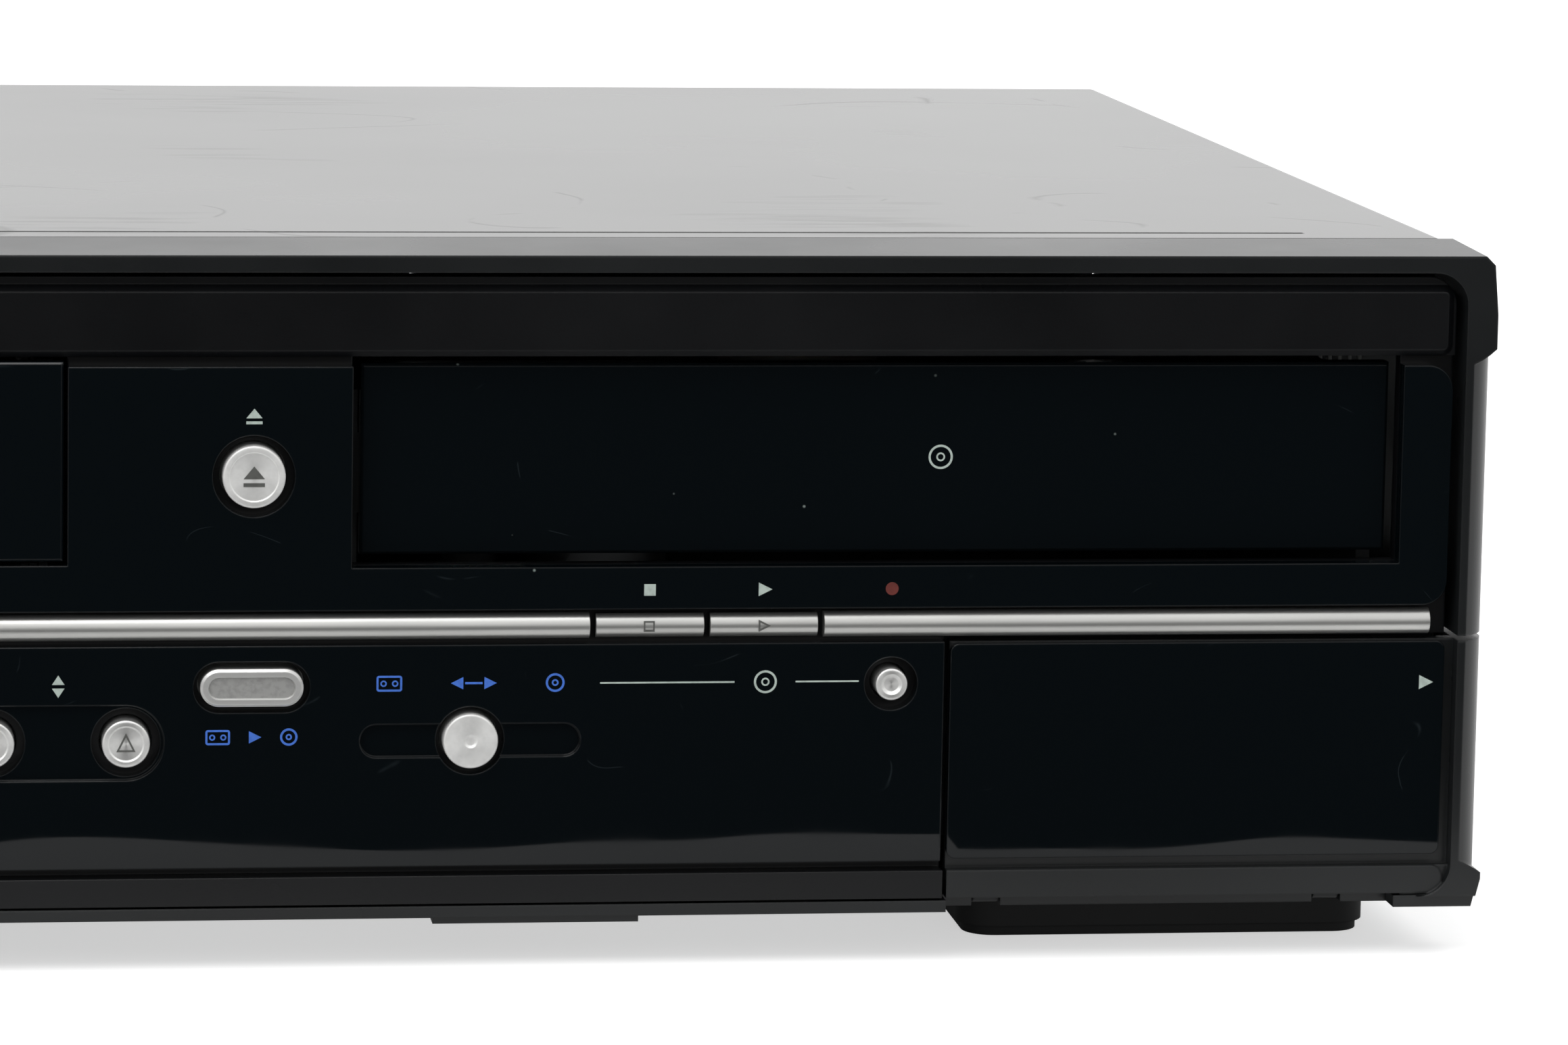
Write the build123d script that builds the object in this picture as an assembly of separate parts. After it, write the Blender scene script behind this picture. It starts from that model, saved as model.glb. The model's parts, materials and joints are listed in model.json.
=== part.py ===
from build123d import *

import math
import os

# A disc recorder and cassette deck in one low cabinet, 435 mm wide.
# +X is the right-hand side seen from the front, the front faces -Y, +Z is up.
# The origin is on the floor, below the middle of the whole set.
# "Depth" is always measured back from the foremost face of the front moulding.

# ---------------------------------------------------------------- overall size
WIDTH = 435.0
HEIGHT = 99.5
BODY_DEPTH = 260.0
SOCKET_REACH = 9.0
FOOT_HEIGHT = 7.0
HALF = WIDTH / 2
FRONT = -(BODY_DEPTH + SOCKET_REACH) / 2
SHEET = 0.8
CLEAR = 0.3
PIN_CLEAR = 0.05

# ---------------------------------------------------------------- front moulding
BEZEL_DEPTH = 15.5
BEZEL_TOP_FALL = 0.8
BEZEL_CORNER = 2.0
COLUMN_WIDTH = 4.3
COLUMN_ROUND = 7.0
RIDGE_INSET = 3.2
COLUMN_FOOT = 14.0
COLUMN_HEAD_IN = HEIGHT - 16.2
COLUMN_HEAD_OUT = HEIGHT - 10.7
TOP_BAND = 3.1
BOTTOM_BAND = 1.65
FRAME_CORNER = 4.6
BOTTOM_TAB = (HALF - 146.9, HALF - 118.4)
TAB_DROP = 0.95
SKIRT_WALL = 1.2
SKIRT_REACH = 4.0

# ---------------------------------------------------------------- fascia layers
FASCIA_GAP = 1.0
MATTE_FACE = 1.2
GLOSS_FACE = 1.2
GLOSS_THICK = 2.5
GLOSS_BACK = GLOSS_FACE + GLOSS_THICK
FASCIA_THICK = 2.5
FASCIA_BACK = GLOSS_BACK + FASCIA_THICK
STEP_FACE = 2.4
FASCIA_TOP = HEIGHT - 3.9
BROW_TOP = HEIGHT - 5.0
BROW_BOTTOM = HEIGHT - 14.8
BROW_BEVEL = 0.9
GLOSS_TOP = HEIGHT - 16.1
STRIP_Z = HEIGHT - 52.1
STRIP_TOP = STRIP_Z + 2.4
STRIP_BOTTOM = STRIP_Z - 2.4
GLOSS_LOW = 14.2
STRIPE_TOP = 12.9
STRIPE_BOTTOM = 9.0
STRIPE_FACE = 0.8
GLOSS_CORNER = 3.4
PANEL_INSET = 1.5

# ---------------------------------------------------------------- openings in the fascia
DISC_RIGHT = HALF - 12.7
DISC_OPENING = 145.8
DISC_LEFT = DISC_RIGHT - DISC_OPENING
DISC_MID = (DISC_LEFT + DISC_RIGHT) / 2
DISC_FLOOR = HEIGHT - 43.8
TRAY_GAP = 1.3
TRAY_PANEL_FACE = 4.7
TRAY_PANEL_THICK = 3.0

TAPE_RIGHT = DISC_LEFT - 38.6
TAPE_OPENING = WIDTH - 234.2
TAPE_LEFT = TAPE_RIGHT - TAPE_OPENING
TAPE_MID = (TAPE_LEFT + TAPE_RIGHT) / 2
TAPE_FLOOR = HEIGHT - 43.3
TAPE_FLOOR_RELIEF = 1.2
DOOR_GAP = 0.6
DOOR_PIVOT_DEPTH = 8.8
DOOR_PIVOT_Z = HEIGHT - 11.9
DOOR_PIN = 1.2
DOOR_ARM = 5.0
DOOR_ARM_WIDTH = 2.6

# ---------------------------------------------------------------- hinged flap over the front jacks
FLAP_LEFT = DISC_MID + 9.5
FLAP_GAP = 0.6
FLAP_TOP = STRIP_Z - 2.5
FLAP_SPLIT = STRIP_Z - 1.8
FLAP_BACK = 4.2
FLAP_FACE_THICK = 1.2
FLAP_COLUMN_BACK = 13.0
CORNER_BLOCK = 12.1
FLAP_PIVOT_DEPTH = 7.0
FLAP_PIVOT_Z = 10.0
FLAP_EAR = 2.9
FLAP_PIN = 1.55
FLAP_EAR_LENGTH = 3.4
FLAP_LUG = 3.5
FLAP_EARS = (FLAP_LEFT + 3.2, HALF - 17.0)
RAIL_FACE = 4.8

# ---------------------------------------------------------------- sheet-metal cabinet
COVER_FRONT = BEZEL_DEPTH + 0.4
COVER_HALF = HALF - 3.1
COVER_ROUND = 2.0
COVER_BOTTOM = 8.7
CREASE_DEPTH = 21.5
CREASE_WIDTH = 1.2
CREASE_SINK = 0.35
CREASE_END = HALF - 22.5
PAN_BOTTOM = FOOT_HEIGHT + 1.5
PAN_THICK = 1.0
PAN_FRONT = 16.4
PAN_LIP = 12.0
PAN_HALF = COVER_HALF - SHEET - 0.2
REAR_THICK = 1.0
REAR_FACE = BODY_DEPTH
VENT_SIZE = (2.4, 14.0)
VENT_PITCH = 6.0
VENT_COUNT = 9
VENT_ROWS = (HEIGHT - 39.5, HEIGHT - 19.5)
VENT_START = 60.0
FOOT_LENGTH = 58.7
FOOT_DEPTH = 24.0
FOOT_SETBACK = 15.5
FOOT_MID = HALF - 41.15
FOOT_REAR = BODY_DEPTH - 35.0
FOOT_PAD = 1.4
FOOT_CORNER = 5.0
SCREW_HEAD = 3.2
SCREW_HEAD_THICK = 1.8
SCREW_SHANK = 1.4
SCREW_LENGTH = 6.0
SIDE_SCREWS = (70.0, BODY_DEPTH - 45.0)
SIDE_SCREW_Z = 16.0
REAR_SCREWS = (27.5 - HALF, 0.0, HALF - 27.5)

# ---------------------------------------------------------------- keys
KEY_FACE = 0.5
KEY_TRAVEL = 0.8
KEY_FLANGE = 1.0
KEY_STEM = 2.0
KEY_EDGE = 0.35
SWITCH_SIZE = 6.0
BOARD_THICK = 1.6
KEY_BOARD_DEPTH = 14.0
SWITCH_DEPTH = KEY_BOARD_DEPTH - 3.6
STEM_END = SWITCH_DEPTH - KEY_TRAVEL - 0.15

TOP_ROW = DISC_FLOOR + 12.7
HIGH_ROW = STRIP_Z - 8.2
LOW_ROW = STRIP_Z - 15.7
OPEN_KEY = (DISC_LEFT - 13.4, TOP_ROW, 4.3, 5.6)
POWER_KEY = (TAPE_LEFT - 14.8, TOP_ROW, 4.3, 5.6)
PROG_UP_KEY = (DISC_MID - 103.5, LOW_ROW, 3.3, 4.7)
PROG_DOWN_KEY = (DISC_MID - 121.9, LOW_ROW, 3.3, 4.7)
SELECT_KEY = (DISC_MID - 56.4, LOW_ROW, 3.8, 4.7)
DISC_RECORD_KEY = (DISC_MID + 1.8, HIGH_ROW, 2.25, 3.7)
TAPE_RECORD_KEY = (-(DISC_MID + 1.8), HIGH_ROW, 2.25, 3.7)
DUB_KEY = (DISC_MID - 86.4, HIGH_ROW + 0.1)
DUB_SIZE = (14.1, 5.2)
DUB_WELL = 0.9
PROG_RECESS = 5.2
SELECT_RECESS = (30.4, 2.3)
RECESS_SINK = 0.7
DISPLAY_LENGTH = 70.0

# ---------------------------------------------------------------- silver strip and its keys
STRIP_HEIGHT = 3.2
STRIP_FACE = 1.0
STRIP_KEY_FACE = 1.3
STRIP_GAP = 0.9
STRIP_END = HALF - 8.0
KEY_INNER = DISC_MID - 39.2
KEY_WIDTH = 14.9

# ---------------------------------------------------------------- disc loader
LOADER_FRONT = 18.0
LOADER_LENGTH = 178.0
LOADER_HALF = 73.0
LOADER_BOTTOM = DISC_FLOOR - 9.2
LOADER_FLOOR = 1.5
LOADER_WALL = 2.0
LOADER_TOP = DISC_FLOOR + 22.3
LOADER_POST = 3.0
TRAY_HALF = 64.0
TRAY_BOTTOM = DISC_FLOOR + 7.3
TRAY_TOP = TRAY_BOTTOM + 7.0
TRAY_REAR = 190.0
TRAY_TRAVEL = 145.0
DISC_DEPTH = 80.0
DISC_RADIUS = 60.0
WELL_FLOOR = TRAY_TOP - 2.5
WELL_CLEAR = 1.2
SLOT_HALF = 20.0
SLOT_REAR = 150.0
RACK_MODULE = 1.0
RACK_TEETH = 50
RACK_FRONT = 28.0
RACK_HEIGHT = 3.5
RACK_OFFSET = 46.0
PINION_TEETH = 16
WHEEL_MODULE = 0.8
WHEEL_TEETH = 34
MOTOR_TEETH = 12
GEAR_DEPTH = 34.0
GEAR_AXLE = 2.0
WHEEL_BOTTOM = TRAY_BOTTOM - 6.0
WHEEL_THICK = 2.0
MESH_SLACK = 0.12
MOTOR_RADIUS = 10.0

TRAVERSE_BOTTOM = LOADER_BOTTOM + LOADER_FLOOR + CLEAR
TRAVERSE_THICK = 5.0
TRAVERSE_HALF = 38.0
TRAVERSE_FRONT = 60.0
TRAVERSE_REAR = 172.0
TRAVERSE_LIFT = 9.3
WINDOW_HALF = 31.0
WINDOW_FRONT = 98.0
WINDOW_REAR = 164.0
ROD_RADIUS = 1.5
ROD_OFFSET = 24.0
SLED_LENGTH = 24.0
SLED_TRAVEL = 38.0
SLED_HALF = 29.0
SLED_TOP = TRAY_BOTTOM - 6.4
LENS_RADIUS = 4.0
SCREW_OFFSET = 17.0
TURNTABLE_RADIUS = 14.5
TURNTABLE_TOP = TRAY_BOTTOM - 4.0
HUB_RADIUS = 7.4
HUB_RISE = 2.6
SPINDLE_RADIUS = 1.5
SPINDLE_MOTOR_RADIUS = 11.5
BRIDGE_HALF_DEPTH = 20.0
BRIDGE_THICK = 1.2
PUCK_RADIUS = 12.0
PUCK_FLANGE = 15.0
PUCK_BOTTOM = TRAY_TOP + 1.6

# ---------------------------------------------------------------- cassette deck
DECK_FRONT = 44.0
DECK_REAR = BODY_DEPTH - 48.0
DECK_HALF = TAPE_OPENING / 2 - 1.8
DECK_BASE = HEIGHT - 73.5
DECK_WALL = 1.2
DECK_WALL_FRONT = DOOR_PIVOT_DEPTH + DOOR_PIVOT_Z - TAPE_FLOOR + 2.3
DECK_WALL_TOP = HEIGHT - 7.5
DECK_WINDOW = (DECK_FRONT + 16.0, DECK_REAR - 82.0)
DECK_WINDOW_HALF = 30.0
LIFT_FRONT = 42.0
LIFT_LENGTH = 50.0
LIFT_TRAVEL = 50.0
LIFT_TOP = HEIGHT - 13.5
BASKET_DROP = 20.0
BASKET_FLOOR = HEIGHT - 43.5
BASKET_TOP = HEIGHT - 15.9
BASKET_WALL = 1.0
LEDGE = 12.0
DRUM_RADIUS = 31.0
DRUM_DEPTH = DECK_REAR - 33.5
DRUM_BOTTOM = DECK_BASE + 8.0
DRUM_HALF_HEIGHT = 11.0
REEL_SPACING = 92.0
REEL_DEPTH = 90.0
REEL_RADIUS = 14.0
REEL_POST = 5.5
CAPSTAN_RADIUS = 1.5
FLYWHEEL_RADIUS = 17.0
CAPSTAN_PLACE = (44.0, DECK_REAR - 52.0)
PINCH_RADIUS = 6.0
PINCH_OFFSET = (9.4, 9.0)
PINCH_POST = 1.8
PINCH_TALL = 22.0
GUIDE_RADIUS = 2.4
GUIDE_TALL = 24.0
HEAD_TALL = 22.0
REEL_PIN = 2.0

# ---------------------------------------------------------------- rear and front sockets
JACK_BARREL = 4.15
JACK_BORE = 1.6
JACK_HOLE = 5.2
JACK_SPACING = 14.0
REAR_JACK_X = 20.0
REAR_JACK_Z = (44.0, 62.0)
FRONT_JACK_Z = STRIP_Z - 18.4
FRONT_JACK_X = (FLAP_LEFT + 18.0, FLAP_LEFT + 36.0, FLAP_LEFT + 54.0)
JACK_BOX_DEPTH = 19.0
JACK_BOX_WALL = 1.8
AERIAL_RADIUS = 4.7
AERIAL_X = HALF - 39.5
AERIAL_Z = (42.0, 66.0)
SCART_X = HALF - 105.5
SCART_Z = (42.0, 66.0)
SCART_SIZE = (47.0, 15.0)
HDMI_X = -20.0
HDMI_Z = 48.0
INLET_X = 39.5 - HALF
INLET_Z = 40.0
FAN_X = 107.5 - HALF
FAN_Z = HEIGHT - 41.5
FAN_SIZE = 50.0
FAN_DEPTH = 12.0
FAN_BLADES = 7


# ================================================================ helpers
def at(depth):
    """The Y value of a depth behind the front."""
    return FRONT + depth


def span(x0, x1, d0, d1, z0, z1):
    """A block between two X values, two depths and two heights."""
    middle = Pos((x0 + x1) / 2, at((d0 + d1) / 2), (z0 + z1) / 2)
    return middle * Box(x1 - x0, d1 - d0, z1 - z0)


def slab(sketch, d0, d1):
    """A front-view sketch, in X and Z, carried back from depth d0 to d1."""
    plane = Plane(origin=(0, at(d1), 0), x_dir=(1, 0, 0), z_dir=(0, -1, 0))
    return extrude(plane * sketch, d1 - d0)


def side(sketch, x0, x1):
    """A side-view sketch, in depth and Z, carried from x0 to x1."""
    plane = Plane(origin=(x0, FRONT, 0), x_dir=(0, 1, 0), z_dir=(1, 0, 0))
    return extrude(plane * sketch, x1 - x0)


def floor_plan(sketch, z0, z1):
    """A plan sketch, in X and depth, carried up from z0 to z1."""
    return extrude(Plane(origin=(0, FRONT, z0)) * sketch, z1 - z0)


def outline(*points):
    return make_face(Polyline(*points, close=True))


def rounded(x0, x1, z0, z1, radius):
    return Pos((x0 + x1) / 2, (z0 + z1) / 2) * RectangleRounded(x1 - x0, z1 - z0, radius)


def bar_x(x0, x1, depth, z, radius):
    """A round bar lying along X."""
    return Pos((x0 + x1) / 2, at(depth), z) * Rot(0, 90, 0) * Cylinder(radius, x1 - x0)


def bar_y(x, d0, d1, z, radius):
    """A round bar lying along the depth."""
    return Pos(x, at((d0 + d1) / 2), z) * Rot(90, 0, 0) * Cylinder(radius, d1 - d0)


def bar_z(x, depth, z0, z1, radius):
    """An upright round bar."""
    return Pos(x, at(depth), (z0 + z1) / 2) * Cylinder(radius, z1 - z0)


def gear_teeth(teeth, module, slack):
    """The outline of a spur gear: straight-flanked teeth, thinned for running slack."""
    pitch = teeth * module / 2
    tip = pitch + module - slack
    root = pitch - 1.2 * module
    step = 2 * math.pi / teeth
    wide = step * 0.25 + module * 0.2 / root
    narrow = step * 0.25 - module * 0.42 / tip - slack / tip
    points = []
    for tooth in range(teeth):
        middle = tooth * step
        for radius, angle in ((root, -wide), (tip, -narrow), (tip, narrow), (root, wide)):
            points.append((radius * math.cos(middle + angle), radius * math.sin(middle + angle)))
    return outline(*points)


# ================================================================ cabinet
def bottom_chassis():
    """The steel pan under everything, with upturned sides and dimples for the feet."""
    top = PAN_BOTTOM + PAN_THICK
    rear = REAR_FACE - SHEET - REAR_THICK
    pan = span(-PAN_HALF, PAN_HALF, PAN_FRONT, rear, PAN_BOTTOM, top)
    for edge in (-1, 1):
        inner, outer = sorted((edge * (PAN_HALF - PAN_THICK), edge * PAN_HALF))
        pan += span(inner, outer, PAN_FRONT, rear, PAN_BOTTOM, top + PAN_LIP)
    pan += span(-PAN_HALF, FLAP_LEFT - 6, PAN_FRONT, PAN_FRONT + PAN_THICK, PAN_BOTTOM, top + 3)
    for row in range(2):
        for slot in range(8):
            middle = -60 + slot * 16
            depth = 110 + row * 60
            pan -= span(middle - 1.5, middle + 1.5, depth, depth + 40, PAN_BOTTOM - 1, top + 1)
    for edge in (-1, 1):
        for depth in SIDE_SCREWS:
            pan -= bar_x(edge * PAN_HALF - 3, edge * PAN_HALF + 3, depth, SIDE_SCREW_Z,
                         SCREW_SHANK + PIN_CLEAR)
    return pan


def cover_profile(inset):
    half = COVER_HALF - inset
    top = HEIGHT - inset
    radius = COVER_ROUND - inset * 0.9
    lower = COVER_BOTTOM - (5 if inset else 0)
    shape = rounded(-half, half, lower - 20, top, radius)
    return shape & rounded(-half - 1, half + 1, lower, top + 1, 0.1)


def top_cover():
    """The folded steel lid: a top and two sides, a pressed crease and vents."""
    lid = slab(cover_profile(0), COVER_FRONT, REAR_FACE)
    lid -= slab(cover_profile(SHEET), COVER_FRONT - 1, REAR_FACE - SHEET)
    rear_low = HEIGHT - 9.0
    lid -= span(-HALF, HALF, REAR_FACE - SHEET - 1, REAR_FACE + 1, 0, rear_low)
    lid -= span(-CREASE_END, CREASE_END, CREASE_DEPTH, CREASE_DEPTH + CREASE_WIDTH,
                HEIGHT - CREASE_SINK, HEIGHT + 1)
    width, height = VENT_SIZE
    for low in VENT_ROWS:
        for slot in range(VENT_COUNT):
            depth = VENT_START + slot * VENT_PITCH
            for edge in (-1, 1):
                wall = edge * COVER_HALF
                lid -= span(wall - 3, wall + 3, depth, depth + width, low - height, low)
    for edge in (-1, 1):
        for depth in SIDE_SCREWS:
            lid -= bar_x(edge * COVER_HALF - 2, edge * COVER_HALF + 2, depth, SIDE_SCREW_Z,
                         SCREW_SHANK + PIN_CLEAR)
    for x in REAR_SCREWS:
        lid -= bar_y(x, REAR_FACE - 3, REAR_FACE + 2, HEIGHT - 5, SCREW_SHANK + PIN_CLEAR)
    return lid


def screw():
    """One cover screw: a domed head on a plain shank, pointing up from its seat."""
    head = Pos(0, 0, SCREW_HEAD_THICK / 2) * Cylinder(SCREW_HEAD, SCREW_HEAD_THICK)
    head = chamfer(head.edges().group_by(Axis.Z)[-1], 0.7)
    return head + Pos(0, 0, -SCREW_LENGTH / 2) * Cylinder(SCREW_SHANK, SCREW_LENGTH)


def cover_screws():
    screws = []
    for edge in (-1, 1):
        for depth in SIDE_SCREWS:
            place = Pos(edge * COVER_HALF, at(depth), SIDE_SCREW_Z)
            screws.append(place * Rot(0, edge * 90, 0) * screw())
    for x in REAR_SCREWS:
        screws.append(Pos(x, at(REAR_FACE), HEIGHT - 5) * Rot(90, 0, 0) * Rot(180, 0, 0) * screw())
    return Compound(children=screws)


def foot():
    """One long rounded foot with a narrower rubber sole."""
    body = Pos(0, 0, FOOT_PAD) * extrude(RectangleRounded(FOOT_LENGTH, FOOT_DEPTH, FOOT_CORNER),
                                         PAN_BOTTOM - FOOT_PAD)
    sole = RectangleRounded(FOOT_LENGTH - 1.6, FOOT_DEPTH - 1.6, FOOT_CORNER - 0.8)
    return body + extrude(sole, FOOT_PAD)


def feet():
    places = []
    for edge in (-1, 1):
        places.append((edge * FOOT_MID, FOOT_SETBACK + FOOT_DEPTH / 2))
        places.append((edge * FOOT_MID, FOOT_REAR))
    return Compound(children=[Pos(x, at(depth), 0) * foot() for x, depth in places])


def rear_panel():
    """The steel back, pierced for every socket, the inlet and the fan."""
    front = REAR_FACE - SHEET - REAR_THICK
    panel = slab(rounded(-PAN_HALF, PAN_HALF, PAN_BOTTOM + PAN_THICK, HEIGHT - SHEET - 0.2,
                         COVER_ROUND), front, REAR_FACE - SHEET)
    holes = []
    for x, z in rear_jack_places():
        holes.append(Pos(x, z) * Circle(JACK_HOLE))
    for z in AERIAL_Z:
        holes.append(Pos(AERIAL_X, z) * Circle(AERIAL_RADIUS + CLEAR))
    for z in SCART_Z:
        holes.append(Pos(SCART_X, z) * Rectangle(SCART_SIZE[0] + 0.6, SCART_SIZE[1] + 0.6))
    holes.append(Pos(HDMI_X, HDMI_Z) * Rectangle(15.6, 6.2))
    holes.append(Pos(INLET_X, INLET_Z) * Rectangle(24.6, 16.6))
    for slot in range(-4, 5):
        offset = slot * 5.0
        reach = math.sqrt((FAN_SIZE / 2 - 2) ** 2 - offset**2)
        holes.append(Pos(FAN_X + offset, FAN_Z) * Rectangle(3.0, 2 * reach))
    for x in REAR_SCREWS:
        holes.append(Pos(x, HEIGHT - 5) * Circle(SCREW_SHANK + PIN_CLEAR))
    for hole in holes:
        panel -= slab(hole, front - 1, REAR_FACE + 1)
    return panel


# ================================================================ front moulding
def bezel_outline():
    return outline((-HALF + 1.0, FOOT_HEIGHT), (HALF - 1.0, FOOT_HEIGHT), (HALF, FOOT_HEIGHT + 4.1),
                   (HALF, HEIGHT - 8.9), (HALF - 0.6, HEIGHT - BEZEL_CORNER),
                   (HALF - 0.6 - BEZEL_CORNER, HEIGHT), (-HALF + 0.6 + BEZEL_CORNER, HEIGHT),
                   (-HALF + 0.6, HEIGHT - BEZEL_CORNER), (-HALF, HEIGHT - 8.9),
                   (-HALF, FOOT_HEIGHT + 4.1))


def column_cutter():
    """What the rounded outer corner of the right-hand column takes away."""
    ridge = HALF - RIDGE_INSET
    curve = ThreePointArc((ridge, 0), (HALF - 0.75, COLUMN_ROUND * 0.36), (HALF, COLUMN_ROUND))
    away = Polyline((HALF, COLUMN_ROUND), (HALF + 3, COLUMN_ROUND), (HALF + 3, -1), (ridge, -1),
                    (ridge, 0))
    cutter = floor_plan(make_face(Wire([curve] + away.edges())), 0, HEIGHT)
    top = HEIGHT - COLUMN_HEAD_OUT
    swoosh = ThreePointArc((ridge - 1, COLUMN_HEAD_IN), (ridge + 1.4, COLUMN_HEAD_IN + 1.1),
                           (HALF + 3, COLUMN_HEAD_OUT + 3.4))
    above = Polyline((HALF + 3, COLUMN_HEAD_OUT + 3.4), (HALF + 3, COLUMN_HEAD_OUT + top + 9),
                     (ridge - 1, COLUMN_HEAD_OUT + top + 9), (ridge - 1, COLUMN_HEAD_IN))
    cutter -= slab(make_face(Wire([swoosh] + above.edges())), -2, COLUMN_ROUND + 2)
    foot_arc = ThreePointArc((ridge - 1, COLUMN_FOOT), (ridge + 1.6, COLUMN_FOOT - 1.0),
                             (HALF + 3, COLUMN_FOOT - 5.0))
    below = Polyline((HALF + 3, COLUMN_FOOT - 5.0), (HALF + 3, -1), (ridge - 1, -1),
                     (ridge - 1, COLUMN_FOOT))
    cutter -= slab(make_face(Wire([foot_arc] + below.edges())), -2, COLUMN_ROUND + 2)
    return cutter


def bezel_frame():
    """The whole outer frame, before its lower right corner is given to the flap."""
    frame = slab(bezel_outline(), 0, BEZEL_DEPTH)
    inner = HALF - COLUMN_WIDTH
    window = rounded(-inner, inner, FOOT_HEIGHT + BOTTOM_BAND, HEIGHT - TOP_BAND, FRAME_CORNER)
    frame -= slab(window, -1, BEZEL_DEPTH + 1)
    fall = outline((-1, HEIGHT - BEZEL_TOP_FALL), (BEZEL_DEPTH, HEIGHT), (BEZEL_DEPTH, HEIGHT + 3),
                   (-1, HEIGHT + 3))
    frame -= side(fall, -HALF - 1, HALF + 1)
    frame -= span(-HALF, HALF, -1, 0.9, 0, FOOT_HEIGHT + BOTTOM_BAND)
    right = column_cutter()
    return frame - right - mirror(right, about=Plane.YZ)


def flap_share():
    """The lower right corner of the frame, which swings with the flap."""
    corner_top = FOOT_HEIGHT + BOTTOM_BAND + FRAME_CORNER + 1
    return (span(HALF - CORNER_BLOCK, HALF + 1, -1, BEZEL_DEPTH + 1, 0, corner_top)
            + span(HALF - COLUMN_WIDTH - 0.8, HALF + 1, -1, BEZEL_DEPTH + 1, 0, FLAP_SPLIT))


def front_bezel():
    """The front frame: columns, top band, bottom rail, flap ears and the skirt behind."""
    frame = bezel_frame() - flap_share()
    rail_top = FOOT_HEIGHT + BOTTOM_BAND
    frame -= span(FLAP_LEFT + FLAP_GAP, HALF, -1, RAIL_FACE, 0, rail_top + 0.5)
    for ear, lug in ((FLAP_EARS[0], 1), (FLAP_EARS[1], -1)):
        near, far = sorted((ear - lug * FLAP_EAR_LENGTH / 2, ear + lug * FLAP_EAR_LENGTH / 2))
        frame += bar_x(near, far, FLAP_PIVOT_DEPTH, FLAP_PIVOT_Z, FLAP_EAR)
        frame += span(near, far, FLAP_PIVOT_DEPTH - 1.8, FLAP_PIVOT_DEPTH + FLAP_EAR,
                      FOOT_HEIGHT + 0.3, FLAP_PIVOT_Z)
        frame -= bar_x(near - 1, far + 1, FLAP_PIVOT_DEPTH, FLAP_PIVOT_Z, FLAP_PIN + PIN_CLEAR)
        start = ear + lug * (FLAP_EAR_LENGTH / 2)
        near, far = sorted((start, start + lug * (FLAP_LUG + 2 * CLEAR)))
        frame -= span(near, far, -1, FLAP_PIVOT_DEPTH + FLAP_EAR + 1.2, 0, rail_top + 0.5)
    frame += span(BOTTOM_TAB[0], BOTTOM_TAB[1], 1.5, 12, FOOT_HEIGHT - TAB_DROP,
                  FOOT_HEIGHT + 0.5)
    skirt_half = COVER_HALF - COVER_ROUND - CLEAR
    skirt_top = HEIGHT - SHEET - CLEAR
    skirt = span(-skirt_half, skirt_half, BEZEL_DEPTH - 1, BEZEL_DEPTH + SKIRT_REACH,
                 skirt_top - SKIRT_WALL, skirt_top)
    return frame + skirt


def round_keys():
    """Every round key: its node name and (x, z, head radius, well radius)."""
    return {
        "open_close_button": OPEN_KEY,
        "power_button": POWER_KEY,
        "program_up_button": PROG_UP_KEY,
        "program_down_button": PROG_DOWN_KEY,
        "select_button": SELECT_KEY,
        "disc_record_button": DISC_RECORD_KEY,
        "tape_record_button": TAPE_RECORD_KEY,
    }


def strip_keys():
    """The four keys let into the silver strip: node name and left edge."""
    outer = KEY_INNER + KEY_WIDTH + STRIP_GAP
    return {
        "disc_stop_button": KEY_INNER,
        "disc_play_button": outer,
        "tape_stop_button": -KEY_INNER - KEY_WIDTH,
        "tape_play_button": -outer - KEY_WIDTH,
    }


def key_hole(radius):
    return Circle(radius + CLEAR)


def dub_shape(grow):
    width, height = DUB_SIZE
    return Pos(*DUB_KEY) * SlotOverall(width + 2 * grow, height + 2 * grow)


def disc_opening():
    return Pos(DISC_MID, (DISC_FLOOR + BROW_BOTTOM) / 2) * Rectangle(
        DISC_OPENING, BROW_BOTTOM - DISC_FLOOR)


def tape_opening():
    return Pos(TAPE_MID, (TAPE_FLOOR + BROW_BOTTOM) / 2) * Rectangle(
        TAPE_OPENING, BROW_BOTTOM - TAPE_FLOOR)


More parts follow.
